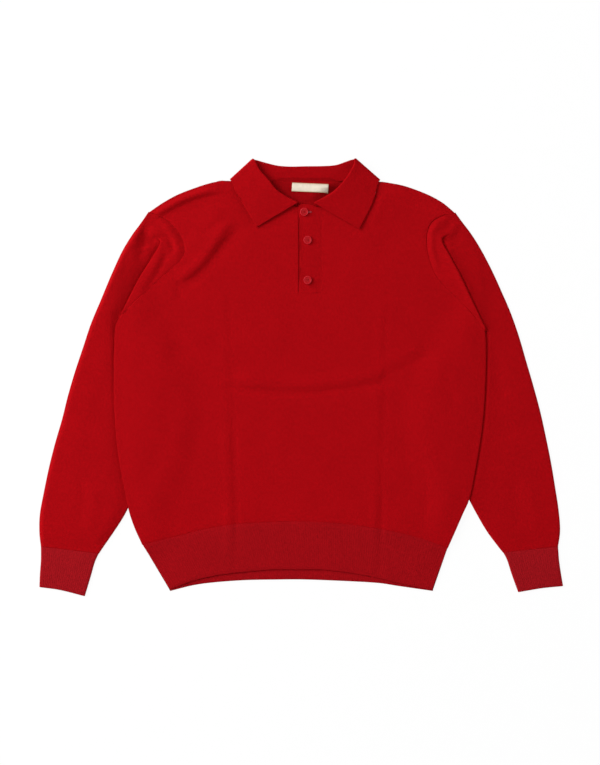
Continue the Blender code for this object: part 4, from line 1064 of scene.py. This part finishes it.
def collar_sections():
    """Each section: seam, roll, edge, way out of the shoulder fold, its angle, rise and puff."""
    sections = []
    for side in SIDES:
        rows = np.array(COLLAR_FRONT[side])
        rows = evenly(np.column_stack([rows[:, 4:6], rows]), COLLAR_FRONT_CELLS)[:, 2:]
        puffs = blend(PUFF_AT_END, 1.0, smooth(np.linspace(0.0, PUFF_GROWS, len(rows))))
        run = [(row[0:2], row[2:4], row[4:6], np.zeros((3, 2)), 90.0, row[6], puff)
               for row, puff in zip(rows, puffs)]
        seam, roll, edge = np.reshape(COLLAR_SHOULDER[side], (3, 2))
        sign = -1.0 if side == "left" else 1.0
        ways = np.array([roll - seam, roll - 0.5 * (seam + edge), roll - edge])
        out = sign * unit(np.column_stack([ways[:, 1], -ways[:, 0]]))
        reach = COLLAR_WALL / 2 + COLLAR_FOLD * np.array([1.0, 2.0, 3.0])
        inner = np.array([seam, roll, edge]) - out * reach[:, None]
        for angle in FOLD_ANGLES:
            puff = PUFF_AT_CORNER if side == "right" and angle < 0.0 else 1.0
            run.append((*inner, out, float(angle), 0.0, puff))
        sections.append(run)
    rows = np.array(COLLAR_BACK)
    rows = evenly(np.column_stack([rows[:, 2:4], rows]), COLLAR_BACK_CELLS)[:, 2:]
    from_corner = np.linspace(1.0, 0.0, len(rows)) / CORNER_REACH
    puffs = blend(1.0, PUFF_AT_CORNER, smooth(1.0 - from_corner))
    back = [(row[0:2] + unit(row[0:2] - row[2:4]) * SEAM_LAP, row[2:4], row[4:6], np.zeros((3, 2)),
             -90.0, 0.0, puff) for row, puff in zip(rows, puffs)]
    left, right = sections
    return left + back + right[::-1]


def collar_profile(seam, roll, edge, out, angle, rise, puff):
    """Points across the collar from the seam over the roll to the outer edge."""
    up, sideways = math.sin(math.radians(angle)), math.cos(math.radians(angle))
    inward = unit(unit(roll - seam) + unit(roll - edge))
    turn = roll - inward * COLLAR_FOLD
    high = FRONT_PUFF * puff * max(up, 0.0) + BACK_PUFF * max(-up, 0.0)

    def point(place, ring, way, near_roll, to_edge=0.0):
        flat = place + way * ring * COLLAR_FOLD * sideways
        lift = high * near_roll + LEAF_RISE * float(smooth(to_edge)) * max(up, 0.0)
        return (*flat, COLLAR_MIDDLE + ring * COLLAR_FOLD * up + rise + lift)

    stand = [point(blend(seam, turn, s), 1.0, out[0], s ** STAND_RISE) for s in STAND_SHARES]
    rolled = [point(turn + inward * COLLAR_FOLD * math.cos(a), 2.0 + math.sin(a), out[1], 1.0)
              for a in ROLL_ANGLES]
    leaf = [point(blend(turn, edge, s), 3.0, out[2], (1.0 - s) ** PUFF_FALL, s) for s in LEAF_SHARES]
    return np.array(stand + rolled + leaf)


def make_collar(knit):
    middle = np.array([collar_profile(*section) for section in collar_sections()])
    first_leaf = middle.shape[1] - len(LEAF_SHARES)
    ease = smooth((np.arange(middle.shape[1]) - first_leaf) / LEAF_EASE)[None, :]
    facing_up = (middle[..., 2] > COLLAR_MIDDLE + 2 * COLLAR_FOLD).astype(float)
    middle[..., 2] += ease * facing_up * uneven(middle[..., :2], "collar")
    steps = np.linalg.norm(np.diff(middle, axis=0), axis=-1).max(axis=1)
    around = np.concatenate([[0.0], np.cumsum(steps)])[:, None]
    steps = np.linalg.norm(np.diff(middle, axis=1), axis=-1).mean(axis=0)
    across = np.concatenate([[0.0], np.cumsum(steps)])[None, :]
    place = np.dstack(np.broadcast_arrays(around, across))
    made = cloth("collar_folded", middle, COLLAR_WALL, knit, knit=place)
    settled(made, "knit", "collar")


# Placket

BAND_ROWS = 60
BAND_COLUMNS = 26
FOOT_EASE = 34.0  # length over which the top band comes down into its seam at the foot
FOOT_SINK = 0.25


def band(name, stops, wandering, finish):
    """A placket band, its left edge wandering, its right edge and its foot sewn in."""
    stops = np.array(stops)
    first, last = stops[0, 0], stops[-1, 0]
    places = np.linspace(0.0, len(stops) - 1.0, BAND_COLUMNS + 1)
    columns = [np.interp(places, np.arange(len(stops)), column) for column in stops.T]
    down = np.linspace(0.0, 1.0, BAND_ROWS + 1)[:, None]
    x, top, step = columns
    y = top + (BAND_BOTTOM - SEAM_LAP - top) * down
    raised = wandering * smooth((y - BAND_BOTTOM + SEAM_LAP) / FOOT_EASE) + (1.0 - wandering)
    step = step * raised - FOOT_SINK * (1.0 - raised)
    shift = wandering * np.interp(y, *np.transpose(FREE_EDGE)) * ((last - x) / (last - first))
    plan = np.dstack([x + shift, y])
    level = front_level(plan) + step + PANEL / 2 + uneven(plan, "band")
    return cloth(name, np.dstack([plan, level]), PANEL, finish)


def make_bands(knit):
    under = settled(band("placket_under_band", UNDER_BAND, 0.0, knit), "knit", "placket_under")
    over = settled(band("placket_top_band", TOP_BAND, 1.0, knit), "knit", "placket_top")


# Buttons and label

BUTTON_NUMBERS = (1, 2, 3)
BUTTON_SIDES = 64
BUTTON_DISH = 0.78  # share of its height that its dished middle has
BUTTON_PROFILE = (  # share of the radius, share of the height
    (0.0, 0.0), (0.8, 0.0), (0.93, 0.08), (1.0, 0.3), (1.0, 0.62), (0.985, 0.84), (0.95, 0.97), (0.91, 1.0),
    (0.87, 0.98), (0.83, 0.9), (0.79, 0.83), (0.72, 0.8), (0.4, BUTTON_DISH), (0.0, BUTTON_DISH),
)
HOLE_RADIUS = 0.75
HOLE_SPREAD = 2.0
HOLE_SIDES = 20
HOLE_TURN = 45.0
SHARP_ANGLE = 40.0


def from_bmesh(name, work):
    mesh = bpy.data.meshes.new(name)
    work.to_mesh(mesh)
    work.free()
    return linked(name, mesh)


def turned_button(name):
    """A turned disc with a raised rim and a dished middle."""
    work = bmesh.new()
    turns = [2 * math.pi * i / BUTTON_SIDES for i in range(BUTTON_SIDES)]
    loops = []
    for radius, height in BUTTON_PROFILE:
        r, z = radius * BUTTON_RADIUS * MM, height * BUTTON_HEIGHT * MM
        around = turns if radius else [0.0]
        loops.append([work.verts.new((r * math.cos(t), r * math.sin(t), z)) for t in around])
    for low, high in zip(loops, loops[1:]):
        for i in range(BUTTON_SIDES):
            k = (i + 1) % BUTTON_SIDES
            if len(low) == 1:
                work.faces.new((low[0], high[i], high[k]))
            elif len(high) == 1:
                work.faces.new((low[i], low[k], high[0]))
            else:
                work.faces.new((low[i], low[k], high[k], high[i]))
    bmesh.ops.recalc_face_normals(work, faces=work.faces)
    return from_bmesh(name, work)


def hole_places():
    """Where a button's four thread holes are, from its middle."""
    turns = [math.radians(HOLE_TURN + 90 * i) for i in range(4)]
    return [(HOLE_SPREAD * math.cos(t), HOLE_SPREAD * math.sin(t)) for t in turns]


def hole_cutter():
    """Four pins for the thread holes."""
    work = bmesh.new()
    for x, y in hole_places():
        made = bmesh.ops.create_cone(
            work, cap_ends=True, segments=HOLE_SIDES, radius1=HOLE_RADIUS * MM,
            radius2=HOLE_RADIUS * MM, depth=4 * BUTTON_HEIGHT * MM,
        )
        bmesh.ops.translate(work, verts=made["verts"], vec=(x * MM, y * MM, 0.0))
    return from_bmesh("thread_holes", work)


def made_plain(made):
    """A piece's modifiers are turned into a plain mesh, and removed."""
    evaluated = made.evaluated_get(bpy.context.evaluated_depsgraph_get())
    mesh = bpy.data.meshes.new_from_object(evaluated)
    made.modifiers.clear()
    old = made.data
    made.data = mesh
    bpy.data.meshes.remove(old)
    mesh.name = made.name
    return made


def button_foot(number):
    """The node of a button, and the middle of its underside in metres."""
    node = f"button_{number}"
    low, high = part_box(node)
    return node, Vector((0.5 * (low[0] + high[0]), 0.5 * (low[1] + high[1]), low[2]))


def make_buttons(polished):
    for number in BUTTON_NUMBERS:
        node, foot = button_foot(number)
        made = turned_button(f"{node}_turned")
        pins = hole_cutter()
        cut = made.modifiers.new("thread holes", "BOOLEAN")
        cut.object = pins
        cut.operation = "DIFFERENCE"
        cut.solver = "EXACT"
        made_plain(made)
        bpy.data.objects.remove(pins)
        # Share of the radius at each point, which the material uses for the painted highlight on the rim.
        rim = made.data.attributes.new("rim", "FLOAT", "POINT")
        for point, value in zip(made.data.vertices, rim.data):
            value.value = point.co.xy.length / (BUTTON_RADIUS * MM)
        made.data.transform(Matrix.Translation(foot))
        made.data.materials.clear()
        made.data.materials.append(polished)
        made.data.shade_smooth()
        made.data.set_sharp_from_angle(angle=math.radians(SHARP_ANGLE))
        settled(made, "button", node)


LABEL_ROWS = 10
LABEL_COLUMNS = 44
LABEL_SIZE = (58.0, 14.0)
LABEL_LIFT = 0.3  # how far the label stands off the back panel, over a seam's gap


def label_plan(columns, rows):
    """Plan points on the label, at shares from its left end and from its top."""
    corners = np.array(LABEL)
    u, v = np.asarray(columns)[None, :, None], np.asarray(rows)[:, None, None]
    return blend(blend(corners[0], corners[1], u), blend(corners[3], corners[2], u), v)


def label_level(plan):
    return back_level(plan) + PANEL + SEAM + LABEL_WALL / 2 + LABEL_LIFT + uneven(plan, "label")


def make_label(satin):
    across, down = np.linspace(0.0, 1.0, LABEL_COLUMNS + 1), np.linspace(0.0, 1.0, LABEL_ROWS + 1)
    plan = label_plan(across, down)
    place = np.dstack(np.meshgrid(across * LABEL_SIZE[0], (1.0 - down) * LABEL_SIZE[1]))
    made = cloth("neck_label", np.dstack([plan, label_level(plan)]), LABEL_WALL, satin, knit=place)
    settled(made, "label", "label")


# Geometry Nodes: the ribs' relief, and what is sewn

def add(tree, kind, inputs=None, **settings):
    """Adds a node to a tree. inputs gives a socket, by name or number, a value or an output."""
    made = tree.nodes.new(kind)
    for name, value in settings.items():
        setattr(made, name, value)
    for key, value in (inputs or {}).items():
        if isinstance(value, bpy.types.NodeSocket):
            tree.links.new(value, made.inputs[key])
        else:
            made.inputs[key].default_value = value
    return made


def maths(tree, operation, *values):
    return add(tree, "ShaderNodeMath", dict(enumerate(values)), operation=operation).outputs[0]


def ranged(tree, value, low, high, to_low=0.0, to_high=1.0, ease="LINEAR"):
    """A value's range from low to high spread over another one."""
    sizes = {"Value": value, 1: low, 2: high, 3: to_low, 4: to_high}
    return add(tree, "ShaderNodeMapRange", sizes, interpolation_type=ease).outputs["Result"]


def started_tree(name, sizes):
    """A Geometry Nodes tree with a geometry in and out, inputs for its sizes, and a material."""
    tree = bpy.data.node_groups.new(name, "GeometryNodeTree")
    tree.interface.new_socket("Geometry", in_out="INPUT", socket_type="NodeSocketGeometry")
    tree.interface.new_socket("Geometry", in_out="OUTPUT", socket_type="NodeSocketGeometry")
    for size in sizes:
        tree.interface.new_socket(size, in_out="INPUT", socket_type="NodeSocketFloat")
    tree.interface.new_socket("Material", in_out="INPUT", socket_type="NodeSocketMaterial")
    return tree, add(tree, "NodeGroupInput")


def finished_tree(tree, given, geometry):
    """The tree's last nodes: real geometry, with its material."""
    real = add(tree, "GeometryNodeRealizeInstances", {"Geometry": geometry})
    dressed = add(tree, "GeometryNodeSetMaterial", {
        "Geometry": real.outputs["Geometry"], "Material": given.outputs["Material"],
    })
    add(tree, "NodeGroupOutput", {"Geometry": dressed.outputs["Geometry"]})
    return tree


def apply_tree(made, tree, finish, **sizes):
    """Runs a tree on a piece with its sizes, and keeps the result as a plain mesh."""
    run = made.modifiers.new(tree.name, "NODES")
    run.node_group = tree
    for item in tree.interface.items_tree:
        if item.in_out == "INPUT" and item.name in sizes:
            run[item.identifier] = float(sizes[item.name])
        if item.in_out == "INPUT" and item.name == "Material":
            run[item.identifier] = finish
    made_plain(made)
    made.data.shade_smooth()
    return made


def rib_relief():
    """Raises ribs on the upward face of the outside, by the distance across the knit."""
    tree, given = started_tree("rib relief", ("Pitch", "Height"))
    across, outside = (
        add(tree, "GeometryNodeInputNamedAttribute", {"Name": name}, data_type="FLOAT").outputs["Attribute"]
        for name in ("across", "outside")
    )
    turns = maths(tree, "DIVIDE", across, given.outputs["Pitch"])
    rise = ranged(tree, maths(tree, "COSINE", maths(tree, "MULTIPLY", turns, 2 * math.pi)), 1.0, -1.0)
    normal = add(tree, "GeometryNodeInputNormal").outputs["Normal"]
    upright = add(tree, "ShaderNodeSeparateXYZ", {0: normal}).outputs["Z"]
    for factor in (outside, ranged(tree, upright, 0.3, 0.9), given.outputs["Height"]):
        rise = maths(tree, "MULTIPLY", rise, factor)
    offset = add(tree, "ShaderNodeCombineXYZ", {"Z": rise})
    raised = add(tree, "GeometryNodeSetPosition", {
        "Geometry": given.outputs["Geometry"], "Offset": offset.outputs["Vector"],
    })
    return finished_tree(tree, given, raised.outputs["Geometry"])


def with_ribs(made, relief):
    return apply_tree(made, relief, made.data.materials[0], Pitch=RIB_PITCH * MM, Height=RIB_RELIEF * MM)


def seam_stitches():
    """Lays small tapered stitches along every path of a wire mesh."""
    tree, given = started_tree("seam stitches", ("Pitch", "Length", "Thickness", "Tilt"))
    path = add(tree, "GeometryNodeMeshToCurve", {"Mesh": given.outputs["Geometry"]})
    points = add(tree, "GeometryNodeResampleCurve", {
        "Curve": path.outputs["Curve"], "Length": given.outputs["Pitch"],
    }, mode="LENGTH")
    stitch = add(tree, "GeometryNodeMeshUVSphere", {"Segments": 6, "Rings": 5, "Radius": 0.5})
    size = add(tree, "ShaderNodeCombineXYZ", {
        "X": given.outputs["Length"], "Y": given.outputs["Thickness"], "Z": given.outputs["Thickness"],
    })
    tangent = add(tree, "GeometryNodeInputTangent")
    turned = add(tree, "FunctionNodeAlignRotationToVector", {"Vector": tangent.outputs["Tangent"]}, axis="X")
    tilt = add(tree, "ShaderNodeCombineXYZ", {"Z": given.outputs["Tilt"]})
    tilted = add(tree, "FunctionNodeRotateRotation", {
        "Rotation": turned.outputs["Rotation"], "Rotate By": tilt.outputs["Vector"],
    }, rotation_space="LOCAL")
    sewn = add(tree, "GeometryNodeInstanceOnPoints", {
        "Points": points.outputs["Curve"], "Instance": stitch.outputs["Mesh"],
        "Rotation": tilted.outputs["Rotation"], "Scale": size.outputs["Vector"],
    })
    return finished_tree(tree, given, sewn.outputs["Instances"])


def sewn(name, paths, slot, thread, tree, pitch, length, thickness, tilt=0.0):
    """Stitches along paths, each a run of x, y, z, as one piece. tilt turns each one on its path."""
    mesh = bpy.data.meshes.new(name)
    starts = np.cumsum([0] + [len(path) for path in paths])
    edges = [(k, k + 1) for a, b in zip(starts, starts[1:]) for k in range(a, b - 1)]
    mesh.from_pydata(np.vstack(paths) * MM, edges, [])
    made = apply_tree(linked(name, mesh), tree, thread, Pitch=pitch * MM, Length=length * MM,
                      Thickness=thickness * MM, Tilt=math.radians(tilt))
    return settled(made, slot)


BUTTONHOLE = 14.0
BUTTONHOLE_SHIFT = 4.5  # how far the flat one's middle is to the right of its button
UPRIGHT_BUTTONHOLE = 11.0
BUTTONHOLE_GAP = 1.5
BUTTONHOLE_POINTS = 12
STITCH_LIFT = 0.05  # how far a sewn stitch stands off the cloth, and how far a linked one sinks
CUFF_LINK_SINK = 0.2
RIB_LINK_SINK = 0.1
LINK_CELLS = {"armhole": 90, "cuff": 40, "rib": 160}
LABEL_SEWN_ENDS = (0.022, 0.978)  # shares of the label's width and depth where its stitches run
LABEL_SEWN_TOP = 0.07
THREAD_LIFT = 0.1  # how far the crossed threads stand off a button, and their ends go down
THREAD_ENDS = -0.3


def buttonhole_paths(flat):
    """Two short rows along each buttonhole: the top one lies flat, the others upright."""
    paths = []
    for x, y in BUTTONS[:1] if flat else BUTTONS[1:]:
        for shift in (-BUTTONHOLE_GAP / 2, BUTTONHOLE_GAP / 2):
            half = (BUTTONHOLE if flat else UPRIGHT_BUTTONHOLE) / 2
            ends = ((x, y - half), (x, y + half)) + np.array((shift, 0.0))
            if flat:
                ends = ((x - half, y), (x + half, y)) + np.array((BUTTONHOLE_SHIFT, shift))
            run = np.linspace(*ends, BUTTONHOLE_POINTS)
            paths.append(np.column_stack([run, front_level(run) + PANEL + BAND_STEP + STITCH_LIFT]))
    return paths


def seam_paths():
    """The linked seams: armholes, the front rib seam and the cuff joins."""
    paths = []
    cells = LINK_CELLS["armhole"]
    for table in SIDES.values():
        whole = evenly(table["front_armhole"], cells)
        run = whole[round(cells * GROOVE_BEGINS):round(cells * (GROOVE_ENDS - GROOVE_FADES))]
        paths.append(np.column_stack([run, front_level(run) + PANEL - armhole_groove(run, whole)]))
        outer, inner = np.array((table["cuff_outer"][0], table["cuff_inner"][0]))
        run = blend(outer, inner, np.linspace(0.04, 0.96, LINK_CELLS["cuff"])[:, None])
        paths.append(np.column_stack([run, np.full(len(run), SLEEVE - CUFF_LINK_SINK)]))
    run = evenly(RIB_TOP, LINK_CELLS["rib"])[2:-2]
    paths.append(np.column_stack([run, front_level(run) + PANEL - RIB_GROOVE - RIB_LINK_SINK]))
    return paths


def label_paths():
    """Stitches that hold the label's two ends and its upper edge."""
    down = np.linspace(0.06, 0.94, 12)
    runs = [label_plan([share], down)[:, 0] for share in LABEL_SEWN_ENDS]
    runs.append(label_plan(np.linspace(0.03, 0.97, 30), [LABEL_SEWN_TOP])[0])
    return [np.column_stack([run, label_level(run) + LABEL_WALL / 2 + STITCH_LIFT]) for run in runs]


def thread_paths():
    """The crossed threads in each button's holes."""
    paths = []
    for number in BUTTON_NUMBERS:
        foot = np.array(button_foot(number)[1]) / MM
        top = foot + (0.0, 0.0, BUTTON_HEIGHT * BUTTON_DISH + THREAD_LIFT)
        holes = [top + (x, y, THREAD_ENDS) for x, y in hole_places()]
        paths += [np.array([holes[k], top, holes[k + 2]]) for k in (0, 1)]
    return paths


def make_stitches(red_thread, pale_thread, cream_thread):
    tree = seam_stitches()
    sewn("seam_links", seam_paths(), "knit", red_thread, tree, 1.9, 1.8, 0.45, tilt=25.0)
    flat, upright = buttonhole_paths(True), buttonhole_paths(False)
    sewn("buttonhole_stitches", flat, "knit", pale_thread, tree, 0.7, 1.9, 0.45, tilt=90.0)
    sewn("upright_buttonholes", upright, "knit", red_thread, tree, 0.7, 1.9, 0.45, tilt=90.0)
    sewn("label_stitches", label_paths(), "label", cream_thread, tree, 1.6, 1.3, 0.35)
    sewn("button_threads", thread_paths(), "button", red_thread, tree, 0.8, 1.5, 0.7)


# Materials

def linear(shade):
    """An sRGB hex colour as a linear colour with alpha."""
    parts = [int(shade[k:k + 2], 16) / 255 for k in (0, 2, 4)]
    return tuple(c / 12.92 if c <= 0.04045 else ((c + 0.055) / 1.055) ** 2.4 for c in parts) + (1.0,)


def mixed(tree, share, first, second, blend_type="MIX"):
    """A colour between two, or their product."""
    return add(tree, "ShaderNodeMix", {0: share, 6: first, 7: second},
               data_type="RGBA", blend_type=blend_type).outputs[2]


def dimmed(tree, tint, level):
    """A colour times a level."""
    whole = add(tree, "ShaderNodeCombineXYZ", {k: level for k in (0, 1, 2)})
    return mixed(tree, 1.0, tint, whole.outputs["Vector"], "MULTIPLY")


def noise(tree, place, scale, detail):
    looks = {"Vector": place, "Scale": scale, "Detail": detail}
    return add(tree, "ShaderNodeTexNoise", looks).outputs["Fac"]


def bumped(tree, shader, height, strength, distance):
    """Fine relief in a material, its distance in millimetres."""
    bump = add(tree, "ShaderNodeBump", {"Height": height, "Strength": strength, "Distance": distance * MM})
    tree.links.new(bump.outputs["Normal"], shader.inputs["Normal"])


def started_material(name, looks):
    """A material with an empty tree but for its output and its shader, which has the given looks."""
    made = bpy.data.materials.new(name)
    made.use_nodes = True
    tree = made.node_tree
    tree.nodes.clear()
    shader = add(tree, "ShaderNodeBsdfPrincipled", looks)
    add(tree, "ShaderNodeOutputMaterial", {"Surface": shader.outputs["BSDF"]})
    return made, tree, shader


def knit_places(tree):
    """A point's place in the knit, and its two parts, across and along."""
    place = add(tree, "ShaderNodeUVMap", uv_map="knit").outputs["UV"]
    parts = add(tree, "ShaderNodeSeparateXYZ", {0: place})
    return place, parts.outputs["X"], parts.outputs["Y"]


def waves(tree, operation, distance, pitch):
    """A sine or cosine along a distance, its pitch in millimetres."""
    return maths(tree, operation, maths(tree, "MULTIPLY", distance, 2 * math.pi / (pitch * MM)))


PURL_AND_PAINTED_SHADE = 0.75  # the inside of the knit, next to its outside: partly the duller purl side, partly painted shade in the hollow of the neck
RIB_VALLEY_SHADE = 0.87
PLAIN_WALE = 1.6  # width of a stitch in the plain knit, and its height
COURSE = 1.2
STITCH_LEAN = 1.3
GRAIN_SCALE = (330.0, 210.0, 1.0)
GRAIN_DEPTH = 0.13
MOTTLE_DEPTH = 0.035


def knit_material(name, wool, gap, ribbed):
    """Fine wool knit: dull, with a faint fuzz, in columns of small V stitches.

    A stitch is about one pixel of the photo, so the grain that shows in it is drawn over them from
    noise of 2 to 4 mm, and the mottling from noise of 40 mm.
    """
    made, tree, shader = started_material(name, {
        "Roughness": 0.9, "Specular IOR Level": 0.02, "Sheen Weight": 0.3, "Sheen Roughness": 0.5,
        "Sheen Tint": linear("ff2020"),
    })
    place, across, along = knit_places(tree)
    wale = RIB_PITCH / 2 if ribbed else PLAIN_WALE
    saw = maths(tree, "PINGPONG", maths(tree, "MULTIPLY", across, 2 / (wale * MM)), 1.0)
    courses = maths(tree, "MULTIPLY", along, 2 / (COURSE * MM))
    lean = maths(tree, "PINGPONG", maths(tree, "MULTIPLY_ADD", saw, STITCH_LEAN, courses), 1.0)
    leg = ranged(tree, lean, 0.0, 0.7, ease="SMOOTHSTEP")
    groove = ranged(tree, maths(tree, "PINGPONG", saw, 1.0), 0.0, 0.3, ease="SMOOTHSTEP")
    relief = maths(tree, "MULTIPLY", leg, groove)
    drawn = add(tree, "ShaderNodeMapping", {"Vector": place, "Scale": GRAIN_SCALE}).outputs["Vector"]
    grain = noise(tree, drawn, 1.0, 2.0)
    tint = mixed(tree, relief, linear(gap), linear(wool))
    for fleck, depth in ((grain, GRAIN_DEPTH), (noise(tree, place, 26.0, 3.0), MOTTLE_DEPTH)):
        tint = dimmed(tree, tint, ranged(tree, fleck, 0.25, 0.75, 1.0 - depth, 1.0 + depth))
    # Painted shade: the knit's inside is darker, partly as the duller purl side and partly for the shade in
    # the neck's hollow, where the back panel's inside shows.
    outside = add(tree, "ShaderNodeAttribute", attribute_name="outside").outputs["Fac"]
    tint = dimmed(tree, tint, ranged(tree, outside, 0.0, 1.0, PURL_AND_PAINTED_SHADE, 1.0))
    if ribbed:
        wave = waves(tree, "COSINE", across, RIB_PITCH)
        tint = dimmed(tree, tint, ranged(tree, wave, 0.1, 1.0, 1.0, RIB_VALLEY_SHADE))
    tree.links.new(tint, shader.inputs["Base Color"])
    bumped(tree, shader, maths(tree, "MULTIPLY_ADD", grain, 0.5, relief), 0.55, 0.4)
    return made


def button_material():
    """Polished casein, dyed through: a soft shine, faint clouds, and a paler rim that is a painted
    highlight.
    """
    looks = {"IOR": 1.54, "Specular IOR Level": 0.06}
    made, tree, shader = started_material("polished casein button, red", looks)
    place = add(tree, "ShaderNodeTexCoord").outputs["Object"]
    tint = mixed(tree, noise(tree, place, 260.0, 3.0), linear("8c050d"), linear("9e0a13"))
    rim = add(tree, "ShaderNodeAttribute", attribute_name="rim").outputs["Fac"]
    # Painted highlight: the outer ring of the rim is mixed towards a paler red, where its curve would catch
    # the light.
    painted_rim_highlight = ranged(tree, rim, 0.86, 0.94, ease="SMOOTHSTEP")
    tree.links.new(mixed(tree, painted_rim_highlight, tint, linear("c42c36")), shader.inputs["Base Color"])
    scuffs = ranged(tree, noise(tree, place, 900.0, 2.0), 0.3, 0.7, 0.28, 0.4)
    tree.links.new(scuffs, shader.inputs["Roughness"])
    return made


def thread_material(name, shade, shine):
    """Two-ply spun thread: light and dark along each turn of the ply, and silky if polyester."""
    looks = {"Roughness": 0.9 - 0.7 * shine, "Specular IOR Level": shine}
    made, tree, shader = started_material(name, looks)
    place = add(tree, "ShaderNodeTexCoord").outputs["Object"]
    plies = ranged(tree, noise(tree, place, 2200.0, 1.0), 0.3, 0.7, 0.75, 1.15)
    tree.links.new(dimmed(tree, linear(shade), plies), shader.inputs["Base Color"])
    return made


def label_material():
    """Satin-woven polyester: smooth and faintly shiny, with fine warp lines and a plain border."""
    looks = {"Roughness": 0.45, "Specular IOR Level": 0.3}
    made, tree, shader = started_material("satin-woven polyester label, cream", looks)
    place, across, along = knit_places(tree)
    weave = maths(tree, "ADD", waves(tree, "SINE", across, 0.5), waves(tree, "SINE", along, 0.6))
    edge = maths(tree, "ABSOLUTE", maths(tree, "SUBTRACT", along, LABEL_SIZE[1] / 2 * MM))
    border = ranged(tree, edge, 5.2 * MM, 5.7 * MM)
    tint = mixed(tree, border, linear("c9beac"), linear("b5a486"))
    clouds = ranged(tree, noise(tree, place, 160.0, 2.0), 0.3, 0.7, 0.93, 1.05)
    tree.links.new(dimmed(tree, tint, clouds), shader.inputs["Base Color"])
    bumped(tree, shader, weave, 0.4, 0.06)
    return made


def paper_material():
    """White seamless paper, lit from behind as on a light table, so that shadows hardly show."""
    made, tree, shader = started_material("white studio paper", {
        "Roughness": 1.0, "Specular IOR Level": 0.0, "Emission Color": (1.0, 1.0, 1.0, 1.0),
        "Emission Strength": PAPER_GLOW,
    })
    place = add(tree, "ShaderNodeTexCoord").outputs["Object"]
    tint = mixed(tree, noise(tree, place, 40.0, 2.0), linear("404040"), linear("444444"))
    tree.links.new(tint, shader.inputs["Base Color"])
    return made


# Floor, light and camera

FLOOR_HALF = 4.0  # metres
FLOOR_LEVEL = -0.2
PAPER_GLOW = 0.93
CAMERA_PLACE = (-1.6, -7.2, 3000.0)
FRAME_HEIGHT = 1224.0
SENSOR = 36.0
LIGHT_DISTANCE = 4.5  # metres
LIGHTS = (  # turn round the sweater, height above the floor, both in degrees, size and power
    ("key_light", 158.0, 32.0, 3.2, 340.0),
    ("fill_light", -20.0, 28.0, 2.4, 40.0),
    ("top_light", 90.0, 88.0, 2.4, 50.0),
)
AMBIENT = 0.26


def make_floor():
    half, level = FLOOR_HALF, FLOOR_LEVEL * MM
    mesh = bpy.data.meshes.new("paper_floor")
    corners = [(-half, -half, level), (half, -half, level), (half, half, level), (-half, half, level)]
    mesh.from_pydata(corners, [], [(0, 1, 2, 3)])
    mesh.materials.append(paper_material())
    floor = linked("paper_floor", mesh)


def make_light():
    """A large low soft light from the upper left, weak ones opposite and above, and a white surround."""
    for name, turn, height, size, power in LIGHTS:
        lamp = bpy.data.lights.new(name, "AREA")
        lamp.shape = "SQUARE"
        lamp.size = size
        lamp.energy = power
        turn, height = math.radians(turn), math.radians(height)
        flat = math.cos(height)
        place = LIGHT_DISTANCE * Vector((flat * math.cos(turn), flat * math.sin(turn), math.sin(height)))
        placed = linked(name, lamp)
        placed.location = place
        placed.rotation_euler = (-place).to_track_quat("-Z", "Y").to_euler()
    world = bpy.data.worlds.new("white_surround")
    world.use_nodes = True
    sky = world.node_tree.nodes["Background"]
    sky.inputs["Color"].default_value = (1.0, 1.0, 1.0, 1.0)
    sky.inputs["Strength"].default_value = AMBIENT
    bpy.context.scene.world = world


def make_camera():
    """Straight above the sweater, as in the photo."""
    lens = bpy.data.cameras.new("overhead")
    lens.sensor_width = SENSOR
    lens.lens = SENSOR * CAMERA_PLACE[2] / FRAME_HEIGHT
    lens.clip_end = 20.0
    placed = linked("overhead", lens)
    placed.location = [v * MM for v in CAMERA_PLACE]
    bpy.context.scene.camera = placed


def main():
    bpy.context.scene.view_settings.view_transform = "Standard"
    jersey = knit_material("merino wool jersey knit, red", "a8060e", "780409", False)
    ribbed = knit_material("merino wool ribbed knit, red", "a00c14", "74060c", True)
    # The cuffs' paler, greyer red is partly their own fuzz and partly painted sheen.
    cuffs = knit_material(
        "merino wool ribbed knit, fulled at the cuffs, red", "9e131b", "740a10", True,
    )
    relief = rib_relief()
    make_back(jersey)
    make_hem_back(ribbed, relief)
    make_front(jersey)
    make_hem_front(ribbed, relief)
    for side in SIDES:
        make_sleeve(side, jersey)
        make_cuff(side, cuffs, relief)
    make_collar(jersey)
    make_bands(jersey)
    make_buttons(button_material())
    make_label(label_material())
    make_stitches(
        thread_material("wool linking yarn, red", "8e060d", 0.02),
        thread_material("spun polyester thread, pale red", "b0404a", 0.2),
        thread_material("spun polyester thread, cream", "d0c3aa", 0.3),
    )
    make_floor()
    make_light()
    make_camera()


main()
